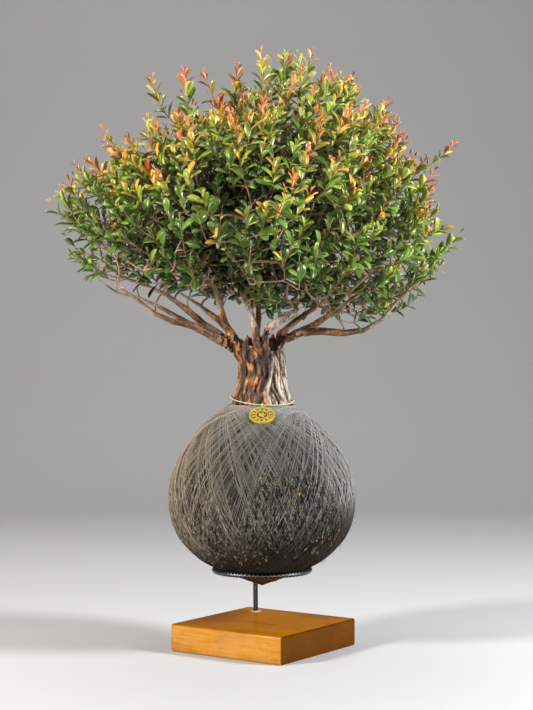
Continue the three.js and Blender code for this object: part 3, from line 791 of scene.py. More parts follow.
@dataclass(frozen=True)
class BarkFinish(Finish):
    """Stringy orange-brown bark with dark clefts, and pale weathered deadwood."""

    name: str = "bark and deadwood"
    bark: Stops = (
        (0.0, (0.006, 0.004, 0.003)), (0.3, (0.045, 0.02, 0.01)), (0.52, (0.235, 0.084, 0.021)),
        (0.74, (0.55, 0.215, 0.06)), (1.0, (0.82, 0.54, 0.3)),
    )
    pale: Stops = (
        (0.0, (0.02, 0.014, 0.01)), (0.25, (0.17, 0.12, 0.08)), (0.42, (0.46, 0.37, 0.27)),
        (0.7, (0.78, 0.71, 0.6)), (1.0, (0.9, 0.86, 0.77)),
    )
    shadow: Colour = (0.05, 0.034, 0.03)
    dust: Colour = (0.05, 0.028, 0.016)

    def paint(self, graph: Graph) -> None:
        """Tone from the relief, darkest in the clefts and lightest on the ridges, partly the bark's own
        colour and partly painted shade and highlight, in the colours of bark or of deadwood, with dark, rusty
        and dusty patches.
        """
        spot = graph.place()
        strings = graph.streaked(spot, (1, 1, 0.16), 520.0)
        blotch = graph.span(graph.mottled(spot, 130.0, 1.8), 0, 1, -0.04, 0.16)
        # The relief's tone puts painted shade in the clefts and a painted highlight on the ridges, over the
        # bark's own darker clefts.
        tone = graph.calc("MULTIPLY", graph.value("relief"), 0.68)
        tone = graph.calc("ADD", tone, graph.calc("MULTIPLY", strings, 0.2))
        tone = graph.calc("ADD", tone, blotch)
        patches = graph.noise(graph.place((1, 1, 0.5)), 190.0, 4, 0.6)
        rusty = graph.calc("MULTIPLY", graph.span(patches, 0.49, 0.6), 0.75)
        weathered = graph.value("pale")
        weathered = graph.calc("SUBTRACT", weathered, graph.calc("MULTIPLY", rusty, weathered))
        shadow = graph.span(patches, 0.5, 0.38, 0.0, 0.7)
        colour = graph.mixed(shadow, graph.ramp(tone, self.bark), self.shadow)
        colour = graph.mixed(weathered, colour, graph.ramp(tone, self.pale))
        height = graph.calc("ADD", strings, graph.calc("MULTIPLY", graph.noise(spot, 1100.0, 4), 0.6))
        graph.surface(
            Base_Color=graph.dirtied(colour, self.dust, 0.45, spot, 210.0),
            Roughness=graph.span(tone, 0, 1, 0.9, 0.6), Normal=graph.bump(height, 0.7, 0.9),
        )


@dataclass(frozen=True)
class LeafFinish(Finish):
    """Small glossy leaves, from salmon and orange at the tips of the shoots to dark green further in."""

    name: str = "leaves"
    warmth: float = 0.0
    ages: Stops = (
        (0.0, (0.6, 0.12, 0.06)), (0.1, (0.68, 0.22, 0.05)), (0.2, (0.62, 0.33, 0.04)),
        (0.32, (0.42, 0.38, 0.03)), (0.45, (0.25, 0.335, 0.034)), (0.6, (0.122, 0.238, 0.026)),
        (0.78, (0.045, 0.118, 0.01)), (1.0, (0.014, 0.045, 0.009)),
    )
    stems: Stops = (
        (0.0, (0.58, 0.12, 0.06)), (0.3, (0.5, 0.2, 0.07)), (0.6, (0.42, 0.22, 0.1)),
        (1.0, (0.46, 0.28, 0.16)),
    )
    vein: Colour = (0.5, 0.48, 0.16)
    edge: Colour = (0.42, 0.2, 0.05)
    back: Colour = (0.25, 0.32, 0.17)
    clefts: Colour = (0.07, 0.034, 0.018)

    def paint(self, graph: Graph) -> None:
        """The blade by its age, with midrib, rim and duller back, made brighter or darker by its own tone and
        painted shade, and the stem by its age with clefts.
        """
        spot = graph.place()
        age, stem, under = (graph.value(name) for name in ("age", "stem", "under"))
        cloudy = graph.mottled(spot, 260.0, 1.4)
        shifted = graph.calc("ADD", age, graph.span(cloudy, 0, 1, -0.06, 0.06))
        blade = graph.ramp(graph.calc("SUBTRACT", shifted, self.warmth), self.ages)
        side = graph.calc("ABSOLUTE", graph.value("across"))
        blade = graph.mixed(graph.span(side, 0.0, 0.2, 0.22, 0.0), blade, self.vein)
        blade = graph.mixed(graph.span(side, 0.75, 1.0, 0.0, 0.35), blade, self.edge)
        duller = graph.calc("MULTIPLY", under, graph.span(age, 0.1, 0.5, 0.25, 0.7))
        blade = graph.mixed(duller, blade, self.back)
        # Painted shade: inner leaves are darker, and the random tone is spread wide to stand for lit and
        # shaded leaves.
        bright = graph.span(graph.value("shade"), 0, 1, 0.34, 1.52)
        blade = graph.mixed(1.0, blade, graph.grey(bright), "MULTIPLY")
        clefts = graph.span(graph.streaked(spot, (1, 1, 0.3), 900.0), 0, 1, 0.6, 0.0)
        wood = graph.mixed(clefts, graph.ramp(age, self.stems), self.clefts)
        rough = graph.calc("ADD", graph.span(cloudy, 0, 1, 0.2, 0.42), graph.calc("MULTIPLY", stem, 0.3))
        rough = graph.calc("ADD", rough, graph.calc("MULTIPLY", under, 0.12))
        graph.surface(
            Base_Color=graph.mixed(stem, blade, wood), Roughness=rough, Specular_IOR_Level=0.42,
            Subsurface_Weight=0.12, Subsurface_Radius=(0.6, 0.9, 0.25), Subsurface_Scale=0.002,
            Normal=graph.bump(graph.noise(spot, 1400.0, 3), 0.12, 0.5),
        )


@dataclass(frozen=True)
class PaleCord(Finish):
    """Pale green-white twine."""

    name: str = "pale twine"
    colour: Colour = (0.62, 0.66, 0.46)
    dirt: Colour = (0.3, 0.26, 0.15)

    def paint(self, graph: Graph) -> None:
        """The twine's own colour, dirty in patches."""
        spot = graph.place()
        colour = graph.dirtied(self.colour, self.dirt, 0.7, spot, 240.0)
        relief = graph.bump(graph.noise(spot, 3000.0, 3), 0.1)
        graph.surface(Base_Color=colour, Roughness=0.8, Sheen_Weight=0.3, Normal=relief)


@dataclass(frozen=True)
class BrassFinish(Finish):
    """Satin brass whose hollows have turned black."""

    name: str = "brass"
    colour: Colour = (0.9, 0.68, 0.09)
    black: Colour = (0.02, 0.014, 0.006)
    tarnish: Colour = (0.3, 0.17, 0.02)

    def paint(self, graph: Graph) -> None:
        """Brass on the raised parts, black in the hollows and tarnish in patches."""
        spot = graph.place()
        hollow = graph.span(graph.value("relief"), 0.75, 0.2)
        colour = graph.mixed(hollow, self.colour, self.black)
        graph.surface(
            Base_Color=graph.dirtied(colour, self.tarnish, 0.45, spot, 420.0),
            Metallic=graph.span(hollow, 0, 1, 0.6, 0.0), Roughness=graph.span(hollow, 0, 1, 0.34, 0.7),
            Normal=graph.bump(graph.noise(spot, 2400.0, 4), 0.06, 0.6),
        )


@dataclass(frozen=True)
class GlueFinish(Finish):
    """Whitish dried glue."""

    name: str = "dried glue"
    thin: Colour = (0.2, 0.15, 0.1)
    thick: Colour = (0.62, 0.58, 0.5)

    def paint(self, graph: Graph) -> None:
        """Cloudy, where the glue lies thick or thin."""
        spot = graph.place()
        colour = graph.mixed(graph.mottled(spot, 500.0, 1.6), self.thin, self.thick)
        graph.surface(Base_Color=colour, Roughness=0.4, Normal=graph.bump(graph.noise(spot, 1200.0, 3), 0.2))


# ---------------------------------------------------------------- pieces


def new_piece(
    mesh: bpy.types.Mesh, material: bpy.types.Material, nodes: tuple[str, ...]
) -> bpy.types.Object:
    """Puts a finished mesh on the part.

    Args:
        mesh: the mesh, whose name the piece takes.
        material: its material.
        nodes: the solids that it stands for.

    Returns:
        The piece.
    """
    piece = bpy.data.objects.new(mesh.name, mesh)
    bpy.context.scene.collection.objects.link(piece)
    mesh.materials.clear()
    mesh.materials.append(material)
    if nodes:
        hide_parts(*nodes)
    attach(piece, "root")
    LOG.info("%s: %d faces", piece.name, len(mesh.polygons))
    return piece


def repaint(node: str, material: bpy.types.Material) -> None:
    """Gives a solid that stays in sight a better material."""
    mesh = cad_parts[node].data
    mesh.materials.clear()
    mesh.materials.append(material)
    LOG.info("%s: repainted", node)


@dataclass
class Block:
    """The varnished block that the bar stands in."""

    side: float = 165.0
    height: float = 34.0
    turn: float = math.radians(-34.8)
    edge: float = 3.0
    steps: int = 4
    post: Pair = (-10.9, 71.4)
    hole: float = 3.65
    depth: float = 26.0
    sharp: float = math.radians(40)
    glue: tuple[Pair, ...] = (
        (0, 0.05), (5.2, 0.05), (5.0, 0.4), (4.4, 0.8), (3.8, 1.2), (3.3, 1.4), (3.0, 0.6), (0, 0.6),
    )

    def build(self) -> None:
        """Makes the block with eased edges and its blind hole, and the spot of glue at the bar's foot."""
        shape = bmesh.new()
        bmesh.ops.create_cube(shape, size=1.0)
        bmesh.ops.scale(shape, vec=Vector((self.side, self.side, self.height)) * METRE, verts=shape.verts)
        bmesh.ops.bevel(
            shape, geom=shape.edges[:], offset=self.edge * METRE, segments=self.steps, profile=0.5,
            affect="EDGES",
        )
        bmesh.ops.rotate(shape, cent=(0, 0, 0), matrix=Matrix.Rotation(self.turn, 3, "Z"), verts=shape.verts)
        bmesh.ops.translate(shape, vec=(0, 0, self.height / 2 * METRE), verts=shape.verts)
        mesh = bpy.data.meshes.new("varnished_block")
        shape.to_mesh(mesh)
        shape.free()
        block = bpy.data.objects.new("varnished_block", mesh)
        cutter = self.hole_cutter()
        bpy.context.scene.collection.objects.link(block)
        cut = block.modifiers.new("hole", "BOOLEAN")
        cut.object, cut.operation, cut.solver = cutter, "DIFFERENCE", "EXACT"
        whole = bpy.data.meshes.new_from_object(block.evaluated_get(bpy.context.evaluated_depsgraph_get()))
        bpy.data.objects.remove(block)
        bpy.data.objects.remove(cutter)
        whole.name = "block"
        whole.shade_smooth()
        whole.set_sharp_from_angle(angle=self.sharp)
        varnish = VarnishedWood(turn=self.turn, height=self.height * METRE, half=self.side / 2 * METRE)
        new_piece(whole, varnish.material(), ("wooden_base",))
        self.glue_spot()

    def hole_cutter(self) -> bpy.types.Object:
        """The round cutter that makes the hole. It starts at the hole's bottom and ends over the block."""
        bottom, top = self.height - self.depth, self.height + self.depth
        outline = np.array([[0, bottom], [self.hole, bottom], [self.hole, top], [0, top]])
        points, faces = turned_shape(outline, 32)
        points[:, :2] += self.post
        cutter = bpy.data.objects.new("hole_cutter", mesh_of("hole_cutter", points, faces))
        bpy.context.scene.collection.objects.link(cutter)
        return cutter

    def glue_spot(self) -> None:
        """A low uneven ring of dried glue round the bar where it enters the block."""
        points, faces = turned_shape(np.array(self.glue), 40)
        angle = np.arctan2(points[:, 1], points[:, 0])
        uneven = 1 + 0.16 * np.sin(3 * angle + 1) + 0.1 * np.sin(5 * angle)
        points[:, :2] *= uneven[:, None] * [1.25, 1.0]
        points += [*self.post, self.height]
        new_piece(mesh_of("glue_spot", points, faces), GlueFinish().material(), ())


@dataclass
class Stand:
    """The ribbed bar: a post, a tight bend and a ring."""

    centre: Pair = (-2.5, 12.5)
    ring: float = 59.5
    height: float = 96.0
    foot: float = 8.3
    block_top: float = 34.0
    post_angle: float = math.radians(98.1)
    bend: float = 11.0
    close: float = 0.12
    radius: float = 2.9
    rib: float = 0.45
    pitch: float = 4.9
    sides: int = 20
    step: float = 0.8
    turns: int = 40

    def line(self) -> np.ndarray:
        """The bar's middle line, in even steps."""
        bend_turn = self.bend / self.ring
        half_bend = 1 - math.sqrt(0.5)
        angles = [0, 0, 0, -bend_turn * half_bend]
        heights = [self.foot, self.block_top, self.height - self.bend, self.height - self.bend * half_bend]
        around = np.linspace(-bend_turn, -2 * math.pi + self.close, self.turns + 1)
        angles = self.post_angle + np.concatenate([angles, around])
        heights = np.concatenate([heights, np.full(self.turns + 1, self.height)])
        across = self.centre[0] + self.ring * np.cos(angles)
        along = self.centre[1] + self.ring * np.sin(angles)
        dense = smooth_line(np.stack([across, along, heights], -1), 12)
        run = np.concatenate([[0], np.cumsum(np.linalg.norm(np.diff(dense, axis=0), axis=1))])
        even = np.arange(0, run[-1], self.step)
        return np.stack([np.interp(even, run, dense[:, axis]) for axis in range(3)], -1)

    def build(self) -> None:
        """Makes the bar with two long ribs and slanting cross ribs between them."""
        line = self.line()
        plain = tube_points(line[None], np.ones((1, len(line))), self.sides)[0]
        rings = plain[:-2].reshape(len(line), self.sides, 3)
        angle = circle(self.sides)
        run = np.arange(len(line))[:, None] * self.step
        half = np.where(np.sin(angle) > 0, 0.0, 0.5)
        cross = np.cos(2 * math.pi * (run / self.pitch + half + 0.12 * np.cos(angle)))
        cross = eased(cross, 0.2, 0.75) * np.abs(np.sin(angle)) ** 0.5
        long_rib = eased(np.abs(np.cos(angle)), 0.93, 1.0)
        relief = np.maximum(cross, long_rib)
        radius = self.radius + self.rib * relief
        rings = line[:, None] + (rings - line[:, None]) * radius[..., None]
        heap = Heap()
        points = np.vstack([rings.reshape(-1, 3), plain[-2:]])
        values = np.concatenate([relief.ravel(), [0, 0]])
        heap.add(points[None], tube_pattern(len(line), self.sides), relief=values[None])
        new_piece(heap.mesh("ribbed_bar"), BlackSteel().material(), ("steel_stand",))


@dataclass(frozen=True)
class Stain:
    """A side of the ball where moss and dark gaps show."""

    towards: Triple
    strength: float
    full: float


@dataclass
class Ball:
    """The thread-wound ball: a skin under many turns of thread, kept near black as painted shade, with moss
    between them.
    """

    centre: Triple = (-2.5, 12.5, 188.0)
    outline: tuple[Pair, ...] = (
        (0, 75.8), (29, 87.4), (57.5, 99.1), (80, 112), (103, 136), (113.8, 162), (116.4, 188), (112, 216),
        (98, 246), (74, 276), (39, 303.5),
    )
    neck: float = math.radians(18.7)
    upper_turns: int = 400
    lower_turns: int = 260
    together: int = 2
    thread: float = 0.46
    segments: int = 108
    thread_pieces: int = 4
    skin_depth: float = 4.0
    flecks: int = 950
    fleck_places: int = 6000
    fleck_blades: int = 4
    fleck_dryness: tuple[float, ...] = (0.03, 0.22, 0.4, 0.5, 0.6, 0.8, 0.95)
    fibres: int = 220
    fibre: float = 0.14
    stains: tuple[Stain, ...] = (
        Stain(towards=(0.34, -0.86, -0.34), strength=1.5, full=0.97),
        Stain(towards=(-0.72, -0.6, -0.3), strength=0.5, full=0.99),
        Stain(towards=(0.35, 0.85, -0.35), strength=0.9, full=0.99),
    )
    seed: int = 11
    polar: np.ndarray = field(init=False)
    reach: np.ndarray = field(init=False)

    def __post_init__(self) -> None:
        """Works out how far the surface is from the centre at each angle from the top."""
        line = smooth_line(np.array(self.outline), 12)
        away, height = line[:, 0], line[:, 1] - self.centre[2]
        self.polar = np.arctan2(away, height)[::-1]
        self.reach = np.hypot(away, height)[::-1]

    def surface(self, direction: np.ndarray, lift: np.ndarray | float) -> np.ndarray:
        """Places over the surface in the given directions, `lift` above it."""
        angle = np.arccos(np.clip(direction[..., 2], -1, 1))
        reach = np.interp(angle, self.polar, self.reach) + lift
        return np.array(self.centre) + direction * reach[..., None]

    def stain(self, points: np.ndarray) -> np.ndarray:
        """How much moss and dark gaps show at a place: most low on the right, some low on the left."""
        away = unit(points - np.array(self.centre))
        spread = 0.3 + 0.9 * eased(-away[:, 2], 0.42, 0.8)
        for stain in self.stains:
            spread += stain.strength * eased(away @ unit(np.array(stain.towards)), 0.7, stain.full)
        return np.clip(spread * (0.35 + 0.8 * lumps(points, 16, 3) + 0.5 * lumps(points, 5, 4)), 0, 1)

    def painted_shading(self, points: np.ndarray) -> np.ndarray:
        """How much of each turn's tone is kept at a place: painted shade darkens it over the upper front,
        under the crown, and low down.
        """
        away = unit(points - np.array(self.centre))
        front = eased(away @ unit(np.array([0.06, -1.0, 0.5])), 0.66, 0.98)
        return (1 - 0.52 * front) * (1 - 0.76 * eased(0.4 * away[..., 0] - away[..., 2], 0.3, 0.72))

    def build(self) -> None:
        """Makes the skin, the turns of thread, the moss flecks and the loose fibres."""
        thread = GreyThread().material()
        moss = MossFinish().material()
        self.skin(thread)
        self.winding(thread)
        self.moss_flecks(moss)
        self.loose_fibres(thread)
        repaint("moss_sheath", moss)
        repaint("soil_core", SoilFinish().material())

    def skin(self, material: bpy.types.Material) -> None:
        """The closely packed lower layer of thread, as one shell open round the trunk, kept near black as
        painted shade under the turns.
        """
        rows, around = 120, 200
        from_top = np.linspace(self.neck + 0.01, math.pi - 0.012, rows)
        angle, turn = np.meshgrid(from_top, circle(around), indexing="ij")
        away = np.sin(angle)
        direction = np.stack([away * np.cos(turn), away * np.sin(turn), np.cos(angle)], -1).reshape(-1, 3)
        outer = self.surface(direction, -1.5)
        outer += direction * (lumps(outer, 9, 5)[:, None] - 0.5)
        points = np.vstack([outer, self.surface(direction, -self.skin_depth)])
        sheet = grid_quads(rows, around, turned=True)
        inside = sheet[:, ::-1] + len(outer)
        column = np.arange(around)
        beside = (column + 1) % around
        top = np.stack([column, beside, beside + len(outer), column + len(outer)], -1)
        last = (rows - 1) * around
        bottom = last + np.stack([beside, column, column + len(outer), beside + len(outer)], -1)
        mesh = mesh_of("thread_skin", points, [np.vstack([sheet, inside, top, bottom])])
        # Painted shade: the skin's tone is kept near black.
        give_value(mesh, "tone", 0.08 * lumps(points, 3, 8))
        give_value(mesh, "stain", self.stain(points))
        new_piece(mesh, material, ("thread_winding",))

    def winding(self, material: bpy.types.Material) -> None:
        """The turns of thread: loose ones below, darkened as painted shade under the rest, and lighter, even
        ones above, in twos.

        A turn passes the top of the ball on one side of the neck, and the tip below on the other.
        """
        draw = np.random.default_rng(self.seed)
        upper, lower, groups = self.upper_turns, self.lower_turns, self.upper_turns // self.together
        step = 2 * math.pi / upper
        heading = (np.arange(upper) + draw.normal(0, 0.3, upper)) * step
        low_pass = np.repeat(draw.uniform(8, 36, groups), self.together) + draw.normal(0, 1.2, upper)
        high_pass = np.repeat(np.abs(draw.normal(0, 3.2, groups)), self.together)
        high_pass = 0.5 + high_pass + draw.uniform(0, 0.6, upper)
        heading = np.concatenate([draw.uniform(0, 2 * math.pi, lower), heading])
        wide = np.where(draw.random(lower) < 0.45, draw.uniform(3, 30, lower), 0)
        loose_pass = 0.5 + np.abs(draw.normal(0, 4, lower)) + wide
        top = self.neck + np.radians(np.concatenate([loose_pass, high_pass]))
        bottom = -np.radians(np.concatenate([draw.uniform(-12, 40, lower), low_pass]))
        lift = np.concatenate([draw.uniform(-1.15, -0.5, lower), draw.uniform(-0.45, 0.1, upper)])
        # Painted shade: the lower turns get darker tones than the upper ones.
        tone = np.concatenate([draw.uniform(0.0, 0.3, lower), draw.uniform(0.3, 1.15, upper)])
        mixed = draw.permutation(len(tone))
        heading, top, bottom, lift, tone = (value[mixed] for value in (heading, top, bottom, lift, tone))
        paths = self.loops(heading, top, bottom, lift)
        pattern = tube_pattern(self.segments, 3, closed=True)
        for number, group in enumerate(np.array_split(np.arange(len(paths)), self.thread_pieces)):
            radii = np.full((len(group), self.segments), self.thread)
            points = tube_points(paths[group], radii, 3, closed=True)
            heap = Heap()
            stain = self.stain(points.reshape(-1, 3)).reshape(points.shape[:2])
            # Painted shade: each turn's tone is darkened over the upper front and low down.
            heap.add(points, pattern, tone=tone[group][:, None] * self.painted_shading(points), stain=stain)
            new_piece(heap.mesh(f"thread_turns_{number + 1}"), material, ("thread_winding",))

    def loops(self, heading: np.ndarray, top: np.ndarray, bottom: np.ndarray, lift: np.ndarray) -> np.ndarray:
        """Closed loops round the ball.

        Args:
            heading: the azimuth that each loop's plane faces.
            top: how far from the top each loop passes, as an angle at the ball's centre.
            bottom: how far from the tip below each loop passes, negative on the tip's far side.
            lift: how far above the surface each loop runs.

        Returns:
            The loops' points, as loops by segments by three.
        """
        tilt, aside = (bottom - top) / 2, (top + bottom) / 2
        facing = np.stack([np.cos(heading) * np.cos(tilt), np.sin(heading) * np.cos(tilt), np.sin(tilt)], -1)
        level = np.stack([-np.sin(heading), np.cos(heading), np.zeros_like(heading)], -1)
        upright = np.cross(facing, level)
        turn = circle(self.segments)[None, :, None]
        ring = level[:, None] * np.cos(turn) + upright[:, None] * np.sin(turn)
        aside = aside[:, None, None]
        return self.surface(facing[:, None] * np.sin(aside) + ring * np.cos(aside), lift[:, None])

    def moss_flecks(self, material: bpy.types.Material) -> None:
        """Little tufts of moss that push out between the threads."""
        draw = np.random.default_rng(self.seed + 1)
        direction = directions(*even_angles(self.fleck_places))
        direction = unit(direction + draw.normal(0, 0.03, direction.shape))
        chance = self.stain(self.surface(direction, 0.0)) ** 1.2 + 0.04
        chance[direction[:, 2] > 0.86] = 0
        chance *= 1 - 0.97 * eased(-direction[:, 2] + 0.15 * direction[:, 0], 0.5, 0.74)
        chance[direction[:, 2] < -0.93] = 0
        chosen = draw.choice(len(direction), self.flecks, replace=False, p=chance / chance.sum())
        root = np.repeat(self.surface(direction[chosen], -0.4), self.fleck_blades, axis=0)
        out = np.repeat(direction[chosen], self.fleck_blades, axis=0)
        dryness = np.repeat(draw.choice(self.fleck_dryness, self.flecks), self.fleck_blades)
        count = len(root)
        root += draw.normal(0, 1.1, root.shape)
        root -= out * np.sum((root - self.surface(unit(root - self.centre), -0.6)) * out, -1, keepdims=True)
        along = np.cross(np.cross(out, UP), out) * draw.choice([-1, 1], (count, 1))
        along = unit(along + draw.normal(0, 0.45, out.shape))
        along -= out * np.sum(along * out, -1, keepdims=True)
        along = unit(along + out * draw.uniform(0.08, 0.55, (count, 1)))
        length = draw.uniform(2.0, 5.2, count)
        width = length * draw.uniform(0.18, 0.32, count)
        points = MOSS_BLADE.placed(root, along, out, length, width, 0.5, 0.3)
        heap = Heap()
        heap.add(points, MOSS_BLADE.pattern(), dryness=np.clip(dryness + draw.normal(0, 0.05, count), 0, 1))
        new_piece(heap.mesh("moss_flecks"), material, ())

    def loose_fibres(self, material: bpy.types.Material) -> None:
        """Short ends of thread that stand off the ball."""
        draw = np.random.default_rng(self.seed + 2)
        direction = unit(draw.normal(0, 1, (self.fibres, 3)) * [1, 1, 0.6] - [0, 0, 0.15])
        rings = 6
        share = np.linspace(0, 1, rings)[None, :, None]
        side = unit(np.cross(direction, draw.normal(0, 1, direction.shape)))
        length = draw.uniform(4, 11, (self.fibres, 1, 1))
        root = self.surface(direction, -0.6)[:, None]
        paths = root + length * (side[:, None] * share + direction[:, None] * (0.9 * share - 0.5 * share**2))
        points = tube_points(paths, np.full((self.fibres, rings), self.fibre), 3)
        heap = Heap()
        heap.add(points, tube_pattern(rings, 3), tone=draw.uniform(0.5, 1, self.fibres), stain=0)
        new_piece(heap.mesh("loose_fibres"), material, ())


@dataclass(frozen=True)
class LeafShape:
    """One small leaf: closed, thin, widest past its middle, folded along its midrib and arched."""

    rows: tuple[float, ...] = (0.05, 0.18, 0.34, 0.5, 0.65, 0.79, 0.9, 0.97)
    widest: float = 0.64
    columns: tuple[float, ...] = (-1.0, 0.0, 1.0)
    thick: float = 0.16
    midrib: float = 0.1

    def half_width(self, along: np.ndarray) -> np.ndarray:
        """The blade's half-width, as a share of its widest, from its stalk at 0 to its blunt tip at 1."""
        along = np.asarray(along)
        narrow = 0.08 + 0.92 * np.sin(math.pi / 2 * np.clip(along / self.widest, 0, 1)) ** 1.2
        round_end = np.clip(1 - (np.clip(along - self.widest, 0, 1) / (1 - self.widest)) ** 2.2, 0, 1) ** 0.62
        return narrow * round_end

    def template(self) -> tuple[np.ndarray, np.ndarray, np.ndarray]:
        """For each vertex: how far along the leaf, how far across, and 1 on top, 0 at the rim or -1 below."""
        spots = []
        for along in self.rows:
            spots += [(along, across, 1 - abs(across)) for across in self.columns]
            spots.append((along, 0.0, -1.0))
        spots += [(0.0, 0.0, 0.0), (1.0, 0.0, 0.0)]
        return tuple(np.array(spots).T)

    def pattern(self) -> Pattern:
        """The faces of one leaf, its upper side on the left half of its patch and its back on the right."""
        size = len(self.columns) + 1
        stalk, tip = len(self.rows) * size, len(self.rows) * size + 1
        quads, quad_map, tris, tri_map = [], [], [], []
        for back in (False, True):
            chain = [0, 3, 2] if back else [0, 1, 2]
            middle = 0.75 if back else 0.25
            for left, right in ((0, 1), (1, 2)):
                across = [middle + 0.22 * (left - 1), middle + 0.22 * (right - 1)]
                for row in range(len(self.rows) - 1):
                    low, high = row * size, (row + 1) * size
                    face = [low + chain[left], high + chain[left], high + chain[right], low + chain[right]]
                    below, above = self.rows[row], self.rows[row + 1]
                    place = [[across[0], below], [across[0], above], [across[1], above], [across[1], below]]
                    quads.append(face[::-1] if back else face)
                    quad_map.append(place[::-1] if back else place)
                last = (len(self.rows) - 1) * size
                ends = (
                    ([stalk, chain[left], chain[right]], 0.0, self.rows[0], across),
                    ([tip, last + chain[right], last + chain[left]], 1.0, self.rows[-1], across[::-1]),
                )
                for face, point, row_at, sides in ends:
                    place = [[middle, point], [sides[0], row_at], [sides[1], row_at]]
                    tris.append(face[::-1] if back else face)
                    tri_map.append(place[::-1] if back else place)
        return Pattern(np.array(quads), np.array(quad_map), np.array(tris), np.array(tri_map))

    def placed(
        self, root: np.ndarray, along: np.ndarray, face: np.ndarray, length: np.ndarray, width: np.ndarray,
        arch: np.ndarray | float, fold: float,
    ) -> np.ndarray:
        """The vertices of many leaves.

        Args:
            root: where each leaf's stalk starts.
            along: the direction that each leaf starts in.
            face: the direction that its upper side faces.
            length: each leaf's length.
            width: each leaf's full width.
            arch: how far each leaf bends back by its tip, in radians.
            fold: how far its sides rise from its midrib, as a share of its half-width.

        Returns:
            The vertices, as leaves by vertices by three.
        """
        share, across, level = self.template()
        face = unit(face - along * np.sum(face * along, -1, keepdims=True))
        beside = np.cross(face, along)
        bend = np.broadcast_to(np.asarray(arch, float), length.shape)[:, None] + 1e-4
        turned = bend * share
        onward = length[:, None] * np.sin(turned) / bend
        back = length[:, None] * (1 - np.cos(turned)) / bend
        half = width[:, None] / 2 * np.where((share > 0) & (share < 1), self.half_width(share), 0)
        rise = fold * half * np.abs(across) + self.thick * level * (0.5 + 0.5 * (share < 0.9))
        rise -= np.where(level < 0, self.midrib, 0.0) * (half > 0)
        spots = root[:, None] + along[:, None] * (onward + np.sin(turned) * rise)[..., None]
        spots += face[:, None] * (np.cos(turned) * rise - back)[..., None]
        return spots + beside[:, None] * (half * across)[..., None]


LEAF = LeafShape()
MOSS_BLADE = LeafShape(rows=(0.1, 0.4, 0.7, 0.92))


